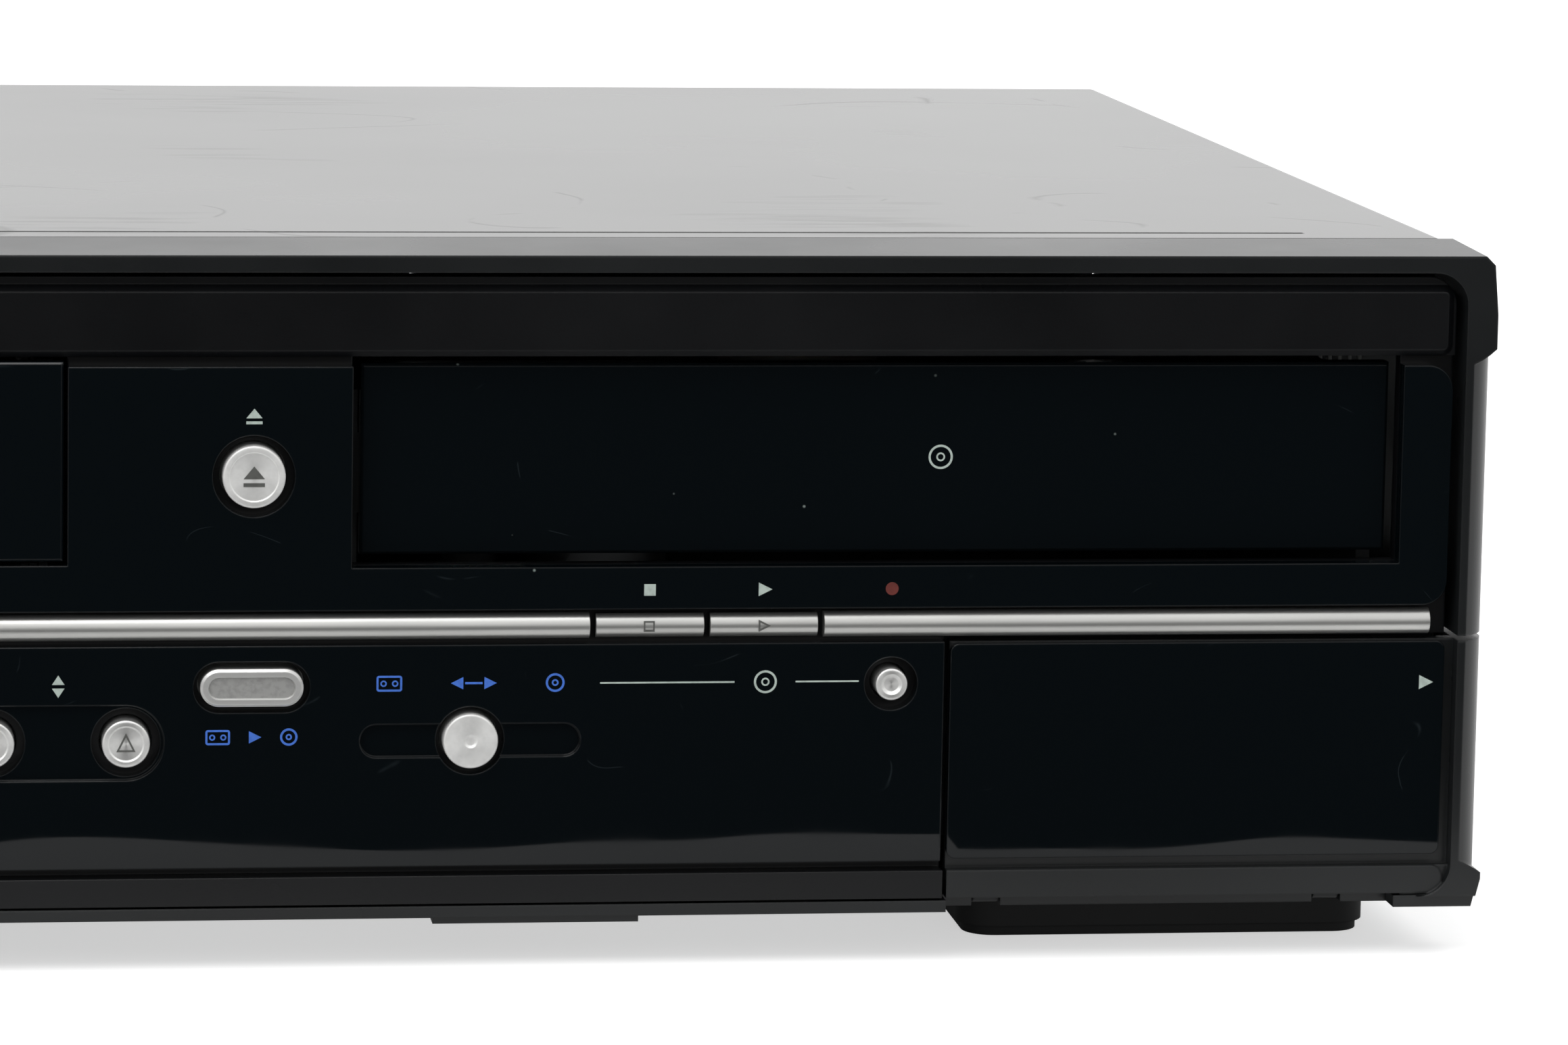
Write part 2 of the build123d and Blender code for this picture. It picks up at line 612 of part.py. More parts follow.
def fascia_frame():
    """The inner moulding: brow, lower stripe and the plate that carries the glossy panels."""
    half = HALF - COLUMN_WIDTH - FASCIA_GAP
    low = STRIPE_BOTTOM
    body = slab(rounded(-half, half, low, FASCIA_TOP, FRAME_CORNER - 0.6), STEP_FACE, FASCIA_BACK)
    body -= span(-half - 1, half + 1, STEP_FACE - 1, GLOSS_BACK, STRIPE_TOP, BROW_BOTTOM)
    brow = slab(rounded(-half + 0.5, half - 0.5, BROW_BOTTOM, BROW_TOP, BROW_BEVEL + 0.6),
                MATTE_FACE, STEP_FACE + 0.5)
    brow = chamfer(brow.edges().filter_by(Axis.X).group_by(Axis.Z)[-1].group_by(Axis.Y)[0],
                   BROW_BEVEL)
    body += brow
    stripe = rounded(-half, half, low, FASCIA_TOP, FRAME_CORNER - 0.6)
    stripe &= Pos(0, (low + STRIPE_TOP) / 2) * Rectangle(WIDTH, STRIPE_TOP - low)
    body += slab(stripe, STRIPE_FACE, STEP_FACE + 0.5)
    body -= slab(disc_opening(), -1, 20)
    body -= slab(tape_opening(), -1, 20)
    body -= span(TAPE_LEFT, TAPE_RIGHT, GLOSS_BACK, FASCIA_BACK + 1,
                 TAPE_FLOOR - TAPE_FLOOR_RELIEF, TAPE_FLOOR + 1)
    body -= span(FLAP_LEFT, HALF, -1, 20, 0, FLAP_SPLIT - 0.2)
    for x, z, radius, _ in round_keys().values():
        body -= slab(Pos(x, z) * key_hole(radius), -1, 20)
    body -= slab(dub_shape(CLEAR), -1, 20)
    for left in strip_keys().values():
        body -= span(left + 2, left + KEY_WIDTH - 2, -1, 20, STRIP_Z - 1.5, STRIP_Z + 1.5)
    body -= span(display_left() - 0.5, display_right() + 0.5, -1, 20, display_low() - 0.5,
                 display_high() + 0.5)
    for edge in (-1, 1):
        inner, outer = sorted((door_pin_end(edge), door_pin_end(edge) - edge * 3.2))
        boss = bar_x(inner, outer, DOOR_PIVOT_DEPTH, DOOR_PIVOT_Z, DOOR_PIN + 1.4)
        boss += span(inner, outer, FASCIA_BACK - 0.5, DOOR_PIVOT_DEPTH, DOOR_PIVOT_Z - 1.8,
                     DOOR_PIVOT_Z + 1.8)
        boss -= bar_x(inner - 1, outer + 1, DOOR_PIVOT_DEPTH, DOOR_PIVOT_Z, DOOR_PIN + PIN_CLEAR)
        body += boss
    return body


def door_pin_end(edge):
    """Where a door pin ends, at the left (-1) or right (+1) end of the cassette door."""
    return TAPE_MID + edge * (TAPE_OPENING / 2 + 1.6)


def display_right():
    return PROG_DOWN_KEY[0] - 12.0


def display_left():
    return display_right() - DISPLAY_LENGTH


def display_low():
    return GLOSS_LOW + 7.8


def display_high():
    return STRIP_BOTTOM - 7.0


def upper_gloss_panel():
    """The glossy plate round the disc tray and the cassette door."""
    half = HALF - COLUMN_WIDTH - PANEL_INSET
    shape = rounded(-half, half, STRIP_TOP, GLOSS_TOP, GLOSS_CORNER)
    for opening in (disc_opening(), tape_opening()):
        shape -= opening
    panel = slab(shape, GLOSS_FACE, GLOSS_BACK)
    for key in (OPEN_KEY, POWER_KEY):
        panel -= slab(Pos(key[0], key[1]) * Circle(key[3]), 0, 20)
    return panel


def lower_gloss_panel():
    """The glossy plate below the silver strip, left of the flap."""
    left = -HALF + COLUMN_WIDTH + PANEL_INSET
    right = FLAP_LEFT - FLAP_GAP / 2
    shape = rounded(left, right + 10, GLOSS_LOW, STRIP_BOTTOM, GLOSS_CORNER)
    shape &= Pos((left + right) / 2, 30) * Rectangle(right - left, 60)
    panel = slab(shape, GLOSS_FACE, GLOSS_BACK)
    sink = GLOSS_FACE + RECESS_SINK
    middle = (PROG_UP_KEY[0] + PROG_DOWN_KEY[0]) / 2
    length = PROG_UP_KEY[0] - PROG_DOWN_KEY[0] + 2 * PROG_RECESS
    panel -= slab(Pos(middle, PROG_UP_KEY[1]) * SlotOverall(length, 2 * PROG_RECESS), 0, sink)
    length, radius = SELECT_RECESS
    panel -= slab(Pos(SELECT_KEY[0], SELECT_KEY[1]) * SlotOverall(length, 2 * radius), 0, sink)
    for key in round_keys().values():
        if key[1] < STRIP_BOTTOM:
            panel -= slab(Pos(key[0], key[1]) * Circle(key[3]), 0, 20)
    return panel - slab(dub_shape(DUB_WELL), 0, 20)


def strip_profile(face):
    """Side view of the strip: a shallow half-round bar."""
    half = STRIP_HEIGHT / 2
    curve = ThreePointArc((GLOSS_BACK, STRIP_Z - half), (face, STRIP_Z), (GLOSS_BACK, STRIP_Z + half))
    return make_face(Wire([curve, Line((GLOSS_BACK, STRIP_Z + half), (GLOSS_BACK, STRIP_Z - half))]))


def silver_strips():
    """The three fixed lengths of the silver strip."""
    outer = KEY_INNER + 2 * KEY_WIDTH + 2 * STRIP_GAP
    lengths = ((-STRIP_END, -outer), (-KEY_INNER + STRIP_GAP, KEY_INNER - STRIP_GAP),
               (outer, STRIP_END))
    return Compound(children=[side(strip_profile(STRIP_FACE), a, b) for a, b in lengths])


def strip_key(left):
    """A strip key: a length of the strip on a stem that reaches its switch."""
    cap = side(strip_profile(STRIP_KEY_FACE), left, left + KEY_WIDTH)
    cap -= span(left - 1, left + KEY_WIDTH + 1, GLOSS_BACK - CLEAR - KEY_TRAVEL, 20, 0, HEIGHT)
    middle = left + KEY_WIDTH / 2
    stem = span(left + 2.4, left + KEY_WIDTH - 2.4, GLOSS_BACK - 1.5, FASCIA_BACK + 0.4,
                STRIP_Z - 1.1, STRIP_Z + 1.1)
    flange = span(left + 1.6, left + KEY_WIDTH - 1.6, FASCIA_BACK + 0.4,
                  FASCIA_BACK + 0.4 + KEY_FLANGE, STRIP_Z - 1.9, STRIP_Z + 1.9)
    post = bar_y(middle, FASCIA_BACK + 0.4, STEM_END, STRIP_Z, KEY_STEM - 0.5)
    return cap + stem + flange + post


def round_key(x, z, radius):
    """A round key: bevelled head, a flange behind the fascia and a stem to its switch."""
    head = bar_y(x, KEY_FACE, FASCIA_BACK + 0.5, z, radius)
    head = chamfer(head.edges().group_by(Axis.Y)[0], KEY_EDGE)
    flange = bar_y(x, FASCIA_BACK + 0.4, FASCIA_BACK + 0.4 + KEY_FLANGE, z, radius + 0.9)
    return head + flange + bar_y(x, FASCIA_BACK + 1, STEM_END, z, KEY_STEM * 0.75)


def dubbing_button():
    """The oblong key, with a flat sunk inside its raised rim."""
    head = slab(dub_shape(0), KEY_FACE, FASCIA_BACK + 0.5)
    head = chamfer(head.edges().group_by(Axis.Y)[0], KEY_EDGE)
    head -= slab(dub_shape(-1.1), 0, KEY_FACE + 0.35)
    head += slab(dub_shape(0.9), FASCIA_BACK + 0.4, FASCIA_BACK + 0.4 + KEY_FLANGE)
    return head + bar_y(DUB_KEY[0], FASCIA_BACK + 1, STEM_END, DUB_KEY[1], KEY_STEM)


def key_board():
    """The circuit board behind the fascia, with one tact switch behind every key."""
    back = KEY_BOARD_DEPTH + BOARD_THICK
    right = FLAP_LEFT - 4.2
    low, high = GLOSS_LOW - 0.2, STRIP_Z + 4.6
    board = span(-HALF + 10, right, KEY_BOARD_DEPTH, back, low, high)
    top = TOP_ROW + 9.6
    board += span(TAPE_RIGHT + 4, DISC_LEFT - 3, KEY_BOARD_DEPTH, back, high - 2, top)
    board += span(POWER_KEY[0] - 11, TAPE_LEFT - 2, KEY_BOARD_DEPTH, back, high - 2, top)
    places = [(key[0], key[1]) for key in round_keys().values()] + [DUB_KEY]
    places += [(left + KEY_WIDTH / 2, STRIP_Z) for left in strip_keys().values()]
    half = SWITCH_SIZE / 2
    for x, z in places:
        board += span(x - half, x + half, SWITCH_DEPTH, KEY_BOARD_DEPTH + 0.5, z - half, z + half)
    return board


def display_module():
    """The fluorescent display: a glass envelope with a shallow bevelled face."""
    glass = span(display_left(), display_right(), GLOSS_BACK + CLEAR, KEY_BOARD_DEPTH,
                 display_low(), display_high())
    return chamfer(glass.edges().group_by(Axis.Y)[0], 0.8)


# ================================================================ flap and front jacks
def av_flap():
    """The flap that folds down: plate, stripe, lower right corner of the frame, lugs, pins."""
    left = FLAP_LEFT + FLAP_GAP
    share = bezel_frame() & flap_share()
    share -= span(0, HALF + 5, FLAP_COLUMN_BACK, 30, 0, HEIGHT)
    share -= span(0, HALF + 5, -1, 30, FLAP_TOP, HEIGHT)
    share -= span(0, HALF - COLUMN_WIDTH, FLAP_PIVOT_DEPTH + 1.8, 30, 0, HEIGHT)
    inner = HALF - COLUMN_WIDTH + 0.5
    plate = span(left, inner, STEP_FACE, FLAP_BACK, STRIPE_TOP - 0.2, FLAP_TOP)
    stripe = slab(rounded(left - 8, HALF - COLUMN_WIDTH - FASCIA_GAP, STRIPE_BOTTOM,
                          STRIPE_TOP, 1.6), STRIPE_FACE, 2.8)
    stripe -= span(0, left, -1, 20, 0, 40)
    stripe += span(HALF - CORNER_BLOCK + 1, HALF - 2, 1.4, 2.8, FOOT_HEIGHT + 1, STRIPE_TOP)
    flap = plate + stripe + share
    for ear, turn in ((FLAP_EARS[0], 1), (FLAP_EARS[1], -1)):
        start = ear + turn * (FLAP_EAR_LENGTH / 2 + CLEAR)
        near, far = sorted((start, start + turn * FLAP_LUG))
        flap += bar_x(near, far, FLAP_PIVOT_DEPTH, FLAP_PIVOT_Z, FLAP_EAR)
        web = outline((STEP_FACE, FLAP_PIVOT_Z + 0.4), (FLAP_PIVOT_DEPTH, FLAP_PIVOT_Z - 1.6),
                      (FLAP_PIVOT_DEPTH + 1.5, FLAP_PIVOT_Z + 2.4), (STEP_FACE + 1, STRIPE_TOP + 1.6))
        flap += side(web, near, far)
        pin_end = start - turn * (FLAP_EAR_LENGTH + CLEAR - 0.2)
        near, far = sorted((start + turn, pin_end))
        flap += bar_x(near, far, FLAP_PIVOT_DEPTH, FLAP_PIVOT_Z, FLAP_PIN)
    return flap


def flap_face():
    """The glossy plate on the flap."""
    left = FLAP_LEFT + FLAP_GAP
    right = HALF - COLUMN_WIDTH - PANEL_INSET
    shape = rounded(left, right, GLOSS_LOW + 0.3, FLAP_TOP - 0.2, 1.2)
    return slab(shape, GLOSS_FACE, GLOSS_FACE + FLAP_FACE_THICK)


def front_jack_panel():
    """The open-fronted box behind the flap, with its back wall pierced for three jacks."""
    left = FLAP_LEFT + 0.4
    right = HALF - COLUMN_WIDTH - PANEL_INSET - 0.4
    low = FLAP_PIVOT_Z + FLAP_EAR + 1.0
    high = FLAP_SPLIT - 0.2
    box = span(left, right, FASCIA_BACK, JACK_BOX_DEPTH, low, high)
    box -= span(left + JACK_BOX_WALL, right - JACK_BOX_WALL, 0, JACK_BOX_DEPTH - JACK_BOX_WALL,
                low + JACK_BOX_WALL, high - JACK_BOX_WALL)
    box -= span(left - 1, right + 1, 0, FLAP_PIVOT_DEPTH + 3.4, 0, low + JACK_BOX_WALL + 1)
    box += span(left, right, FASCIA_BACK, FASCIA_BACK + 1.5, high - 0.5, high + 4)
    for x in FRONT_JACK_X:
        box -= bar_y(x, 10, 30, FRONT_JACK_Z, JACK_HOLE)
    return box


def jack():
    """One phono jack, its barrel pointing up: sleeve, flange and insulating block."""
    barrel = Pos(0, 0, SOCKET_REACH / 2) * Cylinder(JACK_BARREL, SOCKET_REACH)
    block = Pos(0, 0, -5) * Box(11, 11, 10)
    return barrel + block - Pos(0, 0, SOCKET_REACH / 2 + 0.5) * Cylinder(JACK_BORE, SOCKET_REACH)


def rear_jack_places():
    return [(REAR_JACK_X + column * JACK_SPACING, z) for z in REAR_JACK_Z for column in range(3)]


def rca_jacks():
    """Nine identical phono jacks: six at the rear, three behind the flap."""
    jacks = []
    rear_seat = REAR_FACE - SHEET - REAR_THICK
    for x, z in rear_jack_places():
        body = jack() - Pos(0, 0, 50 + SOCKET_REACH) * Box(20, 20, 100)
        jacks.append(Pos(x, at(rear_seat + SHEET + REAR_THICK - 1.8), z) * Rot(-90, 0, 0) * body)
    for x in FRONT_JACK_X:
        jacks.append(Pos(x, at(JACK_BOX_DEPTH), FRONT_JACK_Z) * Rot(90, 0, 0) * jack())
    return Compound(children=jacks)


# ================================================================ rear sockets and boards
def aerial_sockets():
    """The screened tuner can with its two aerial sockets."""
    seat = REAR_FACE - SHEET - REAR_THICK
    low, high = AERIAL_Z
    can = span(AERIAL_X - 14, AERIAL_X + 14, seat - 46, seat, low - 12, high + 12)
    for z in AERIAL_Z:
        can += bar_y(AERIAL_X, seat - 1, BODY_DEPTH + SOCKET_REACH, z, AERIAL_RADIUS)
        can -= bar_y(AERIAL_X, seat + 1, BODY_DEPTH + SOCKET_REACH + 1, z, AERIAL_RADIUS - 0.8)
        can += bar_y(AERIAL_X, seat, BODY_DEPTH + SOCKET_REACH - 3, z, 1.2)
    return can


def scart_sockets():
    """Two 21-way sockets, each a hooded slot."""
    seat = REAR_FACE - SHEET - REAR_THICK
    width, height = SCART_SIZE
    sockets = []
    for z in SCART_Z:
        body = span(SCART_X - width / 2, SCART_X + width / 2, seat - 10, REAR_FACE + 2,
                    z - height / 2, z + height / 2)
        body -= span(SCART_X - width / 2 + 2, SCART_X + width / 2 - 2, REAR_FACE - 9,
                     REAR_FACE + 3, z - height / 2 + 2, z + height / 2 - 2)
        sockets.append(body)
    return Compound(children=sockets)


def hdmi_socket():
    """The flat digital socket, its shroud tapered at the lower corners."""
    seat = REAR_FACE - SHEET - REAR_THICK
    shell = outline((HDMI_X - 7.5, HDMI_Z + 2.8), (HDMI_X - 7.5, HDMI_Z - 1.0),
                    (HDMI_X - 5.8, HDMI_Z - 2.8), (HDMI_X + 5.8, HDMI_Z - 2.8),
                    (HDMI_X + 7.5, HDMI_Z - 1.0), (HDMI_X + 7.5, HDMI_Z + 2.8))
    body = slab(shell, seat - 11, REAR_FACE + 0.5)
    mouth = offset(shell, amount=-0.5)
    body -= slab(mouth, REAR_FACE - 8, REAR_FACE + 1)
    return body + span(HDMI_X - 5.4, HDMI_X + 5.4, REAR_FACE - 9, REAR_FACE - 1, HDMI_Z + 0.2,
                       HDMI_Z + 1.3)


def mains_inlet():
    """The two-pin inlet for a separate mains lead."""
    body = span(INLET_X - 12, INLET_X + 12, REAR_FACE - 22, REAR_FACE + 1, INLET_Z - 8, INLET_Z + 8)
    mouth = Pos(INLET_X, INLET_Z) * SlotOverall(17.0, 9.0)
    body -= slab(mouth, REAR_FACE - 15, REAR_FACE + 2)
    for x in (-4.3, 4.3):
        body += bar_y(INLET_X + x, REAR_FACE - 16, REAR_FACE - 3, INLET_Z, 1.2)
    return body


def main_board():
    """The signal board under the disc loader, on four spacers."""
    low = PAN_BOTTOM + PAN_THICK
    board = span(DISC_LEFT - 30, PAN_HALF - 8, 34, REAR_FACE - 24, low + 6, low + 6 + BOARD_THICK)
    for x in (DISC_LEFT - 24, PAN_HALF - 14):
        for depth in (48, REAR_FACE - 32):
            board += bar_z(x, depth, low, low + 6.5, 3.5)
    for edge in (-1, 1):
        for depth in loader_post_depths():
            board -= bar_z(loader_post_x(edge), depth, low, low + 12, LOADER_POST + 0.5)
    for x, depth, size in ((DISC_MID, 110, 28), (DISC_MID - 40, 160, 20), (DISC_MID + 42, 150, 16)):
        board += span(x - size / 2, x + size / 2, depth, depth + size, low + 7, low + 11)
    return board


def power_board():
    """The supply board behind the cassette deck, with its transformer and heat sink."""
    low = PAN_BOTTOM + PAN_THICK
    front, rear = DECK_REAR + 3, REAR_FACE - 24
    board = span(-PAN_HALF + 6, -PAN_HALF + 81.4, front, rear, low + 6, low + 6 + BOARD_THICK)
    for x in (-PAN_HALF + 11, -PAN_HALF + 75.4):
        board += bar_z(x, (front + rear) / 2, low, low + 6.5, 3.5)
    board += span(-PAN_HALF + 22, -PAN_HALF + 46, front + 1, rear - 1, low + 7, low + 32)
    board += span(-PAN_HALF + 56, -PAN_HALF + 58, front + 1, rear - 1, low + 7, low + 38)
    return board + bar_z(-PAN_HALF + 68, (front + rear) / 2, low + 7, low + 34, 7.5)


def fan_frame():
    """The fan's square frame with its motor hub on four arms."""
    rear = REAR_FACE - SHEET - REAR_THICK
    half = FAN_SIZE / 2
    frame = slab(rounded(FAN_X - half, FAN_X + half, FAN_Z - half, FAN_Z + half, 4),
                 rear - FAN_DEPTH, rear)
    frame -= bar_y(FAN_X, rear - FAN_DEPTH - 1, rear + 1, FAN_Z, half - 1.6)
    frame += span(FAN_X - half + 1, FAN_X + half - 1, rear - FAN_DEPTH, rear - FAN_DEPTH + 1.6,
                  FAN_Z - 1.6, FAN_Z + 1.6)
    frame += span(FAN_X - 1.6, FAN_X + 1.6, rear - FAN_DEPTH, rear - FAN_DEPTH + 1.6,
                  FAN_Z - half + 1, FAN_Z + half - 1)
    frame += bar_y(FAN_X, rear - FAN_DEPTH, rear - FAN_DEPTH + 1.6, FAN_Z, 10)
    return frame + bar_y(FAN_X, rear - FAN_DEPTH, rear - 4, FAN_Z, 1.5)


def fan_rotor():
    """The fan's hub and blades, each blade pitched across the hub."""
    rear = REAR_FACE - SHEET - REAR_THICK
    front = rear - FAN_DEPTH + 2.0
    back = rear - 1.2
    middle = (front + back) / 2
    rotor = bar_y(FAN_X, front, back, FAN_Z, 9.5)
    reach = FAN_SIZE / 2 - 2.4
    for blade in range(FAN_BLADES):
        vane = Pos(8.5 + (reach - 8.5) / 2, 0, 0) * Rot(38, 0, 0) * Box(reach - 8.5, 1.0, 10.0)
        turned = Rot(0, blade * 360 / FAN_BLADES, 0) * vane
        rotor += Pos(FAN_X, at(middle), FAN_Z) * turned
    rotor &= bar_y(FAN_X, front, back, FAN_Z, reach)
    return rotor - bar_y(FAN_X, front - 1, rear - 3, FAN_Z, 1.5 + PIN_CLEAR)


# ================================================================ disc loader
def loader_frame():
    """The moulded channel that the tray runs in, with ledges under and tabs over its edges."""
    x0, x1 = DISC_MID - LOADER_HALF, DISC_MID + LOADER_HALF
    rear = LOADER_FRONT + LOADER_LENGTH
    floor_top = LOADER_BOTTOM + LOADER_FLOOR
    frame = span(x0, x1, LOADER_FRONT, rear, LOADER_BOTTOM, floor_top)
    for edge in (-1, 1):
        outer = DISC_MID + edge * LOADER_HALF
        wall = outer - edge * LOADER_WALL
        a, b = sorted((wall, outer))
        frame += span(a, b, LOADER_FRONT, rear, LOADER_BOTTOM, LOADER_TOP)
        a, b = sorted((wall, DISC_MID + edge * (TRAY_HALF - 0.6)))
        ledge = TRAY_BOTTOM - CLEAR
        frame += span(a, b, LOADER_FRONT, rear, ledge - 2.0, ledge)
        frame += span(a, b, LOADER_FRONT, LOADER_FRONT + 24, TRAY_TOP + CLEAR, TRAY_TOP + 2.0)
        a, b = sorted((wall, DISC_MID + edge * (TRAY_HALF + CLEAR)))
        frame += span(a, b, LOADER_FRONT, rear, ledge - 0.5, TRAY_TOP + 0.5)
    frame += span(x0, x1, rear - LOADER_WALL, rear, LOADER_BOTTOM, TRAY_BOTTOM - 3)
    frame -= span(DISC_MID - WINDOW_HALF + 6, DISC_MID + WINDOW_HALF - 6, WINDOW_FRONT + 8,
                  WINDOW_REAR - 8, LOADER_BOTTOM - 1, floor_top + 1)
    frame += bar_z(gear_x(), GEAR_DEPTH, floor_top - 0.5, WHEEL_BOTTOM + 5.2, GEAR_AXLE)
    frame += bar_z(gear_x(), GEAR_DEPTH, floor_top - 0.5, WHEEL_BOTTOM - CLEAR, GEAR_AXLE + 2)
    for edge in (-1, 1):
        for depth in loader_post_depths():
            frame += bar_z(loader_post_x(edge), depth, PAN_BOTTOM + PAN_THICK,
                           LOADER_BOTTOM + 0.5, LOADER_POST)
    return frame


def loader_post_x(edge):
    return DISC_MID + edge * (LOADER_HALF - 6)


def loader_post_depths():
    return LOADER_FRONT + 24, LOADER_FRONT + LOADER_LENGTH - 12


def gear_x():
    """The tray gear stands beside the rack, a pitch radius away."""
    return DISC_MID - RACK_OFFSET - PINION_TEETH * RACK_MODULE / 2


def motor_x():
    return gear_x() + (WHEEL_TEETH + MOTOR_TEETH) * WHEEL_MODULE / 2


def rack():
    """The rack under the tray's left side, its teeth facing left."""
    pitch = math.pi * RACK_MODULE
    line = DISC_MID - RACK_OFFSET
    back = line + 4.4
    root, tip = line + 1.2 * RACK_MODULE, line - RACK_MODULE + MESH_SLACK
    points = [(back, RACK_FRONT - pitch / 2)]
    for tooth in range(RACK_TEETH):
        middle = RACK_FRONT + tooth * pitch
        wide = pitch / 4 + 0.2 * RACK_MODULE
        narrow = pitch / 4 - 0.42 * RACK_MODULE - MESH_SLACK
        points += [(root, middle - wide), (tip, middle - narrow), (tip, middle + narrow),
                   (root, middle + wide)]
    points.append((back, RACK_FRONT + (RACK_TEETH - 0.5) * pitch))
    return floor_plan(outline(*points), TRAY_BOTTOM - RACK_HEIGHT, TRAY_BOTTOM + 1)


def disc_tray():
    """The tray: a shallow dish for the disc, a slot for the pickup, and a rack below."""
    x0, x1 = DISC_MID - TRAY_HALF, DISC_MID + TRAY_HALF
    front = TRAY_PANEL_FACE + TRAY_PANEL_THICK
    tray = span(x0, x1, front, TRAY_REAR, TRAY_BOTTOM, TRAY_TOP)
    tray -= bar_z(DISC_MID, DISC_DEPTH, WELL_FLOOR, TRAY_TOP + 1, DISC_RADIUS + WELL_CLEAR)
    tray -= bar_z(DISC_MID, DISC_DEPTH, WELL_FLOOR - 1, TRAY_TOP + 1, 40.8)
    tray -= bar_z(DISC_MID, DISC_DEPTH, TRAY_BOTTOM - 1, TRAY_TOP + 1, SLOT_HALF)
    tray -= span(DISC_MID - SLOT_HALF, DISC_MID + SLOT_HALF, DISC_DEPTH, SLOT_REAR,
                 TRAY_BOTTOM - 1, TRAY_TOP + 1)
    for edge in (-1, 1):
        a, b = sorted((DISC_MID + edge * 30, DISC_MID + edge * (TRAY_HALF - 4)))
        tray -= span(a, b, SLOT_REAR + 2, TRAY_REAR - 3, TRAY_BOTTOM + 2, TRAY_TOP + 1)
        a, b = sorted((DISC_MID + edge * 33, DISC_MID + edge * (TRAY_HALF - 6)))
        tray -= span(a, b, front + 3, 22, TRAY_BOTTOM - 1, TRAY_TOP - 3)
    return tray + rack()


def tray_panel():
    """The tray's front plate, which closes the opening."""
    x0, x1 = DISC_LEFT + TRAY_GAP, DISC_RIGHT - TRAY_GAP
    panel = span(x0, x1, TRAY_PANEL_FACE, TRAY_PANEL_FACE + TRAY_PANEL_THICK,
                 DISC_FLOOR + TRAY_GAP, BROW_BOTTOM - TRAY_GAP)
    return chamfer(panel.edges().group_by(Axis.Y)[0], 0.4)


def tray_gear():
    """The compound gear: a wheel driven by the motor, a pinion that drives the rack."""
    wheel = extrude(gear_teeth(WHEEL_TEETH, WHEEL_MODULE, MESH_SLACK), WHEEL_THICK)
    pinion = extrude(Rot(0, 0, 180 / PINION_TEETH) * gear_teeth(PINION_TEETH, RACK_MODULE,
                                                                MESH_SLACK), 5.4)
    gear = wheel + pinion - Cylinder(GEAR_AXLE + PIN_CLEAR, 30)
    turn = rack_phase()
    return Pos(gear_x(), at(GEAR_DEPTH), WHEEL_BOTTOM) * Rot(0, 0, turn) * gear


def rack_phase():
    """The turn that puts a tooth space of the pinion on the rack tooth beside it."""
    pitch = math.pi * RACK_MODULE
    nearest = round((GEAR_DEPTH - RACK_FRONT) / pitch)
    offset_y = RACK_FRONT + nearest * pitch - GEAR_DEPTH
    return math.degrees(offset_y / (PINION_TEETH * RACK_MODULE / 2))


def motor_pinion():
    """The small brass pinion on the tray motor's shaft."""
    turn = rack_phase()
    wheel_step = 360 / WHEEL_TEETH
    contact = (-turn) % wheel_step / wheel_step
    own = 180 / MOTOR_TEETH * (1 + MOTOR_TEETH % 2) + 180
    phase = own + contact * 360 / MOTOR_TEETH
    gear = extrude(gear_teeth(MOTOR_TEETH, WHEEL_MODULE, MESH_SLACK), WHEEL_THICK + 1)
    gear -= Cylinder(1.0 + PIN_CLEAR, 30)
    return Pos(motor_x(), at(GEAR_DEPTH), WHEEL_BOTTOM - 0.5) * Rot(0, 0, phase) * gear


def tray_motor():
    """The tray motor: a small can, its shaft up through the pinion."""
    low = LOADER_BOTTOM + LOADER_FLOOR
    body = bar_z(motor_x(), GEAR_DEPTH, low, WHEEL_BOTTOM - 0.8, MOTOR_RADIUS)
    return body + bar_z(motor_x(), GEAR_DEPTH, low, WHEEL_BOTTOM + WHEEL_THICK + 0.8, 1.0)


def traverse_frame():
    """The frame under the disc that lifts the turntable and carries the pickup's rods."""
    top = TRAVERSE_BOTTOM + TRAVERSE_THICK
    frame = span(DISC_MID - TRAVERSE_HALF, DISC_MID + TRAVERSE_HALF, TRAVERSE_FRONT,
                 TRAVERSE_REAR, TRAVERSE_BOTTOM, top)
    frame -= span(DISC_MID - WINDOW_HALF, DISC_MID + WINDOW_HALF, WINDOW_FRONT, WINDOW_REAR,
                  TRAVERSE_BOTTOM - 1, top + 1)
    frame -= bar_z(DISC_MID, DISC_DEPTH, TRAVERSE_BOTTOM - 1, top - 1.4,
                   SPINDLE_MOTOR_RADIUS + 0.4)
    frame -= bar_z(DISC_MID, DISC_DEPTH, TRAVERSE_BOTTOM - 1, top + 1, 5.0)
    for x in (-ROD_OFFSET, ROD_OFFSET):
        frame -= bar_y(DISC_MID + x, WINDOW_FRONT - 5, WINDOW_REAR + 5, rod_z(), ROD_RADIUS)
    frame -= bar_y(DISC_MID + SCREW_OFFSET, WINDOW_FRONT - 5, WINDOW_REAR + 5, rod_z(),
                   ROD_RADIUS + PIN_CLEAR)
    return frame


def rod_z():
    return TRAVERSE_BOTTOM + TRAVERSE_THICK / 2


def guide_rods():
    """The two ground rods that the pickup slides on."""
    return Compound(children=[bar_y(DISC_MID + x, WINDOW_FRONT - 5, WINDOW_REAR + 5, rod_z(),
                                    ROD_RADIUS) for x in (-ROD_OFFSET, ROD_OFFSET)])


def lead_screw():
    """The screw that walks the pickup along its rods."""
    return bar_y(DISC_MID + SCREW_OFFSET, WINDOW_FRONT - 4.5, WINDOW_REAR + 4.5, rod_z(),
                 ROD_RADIUS)


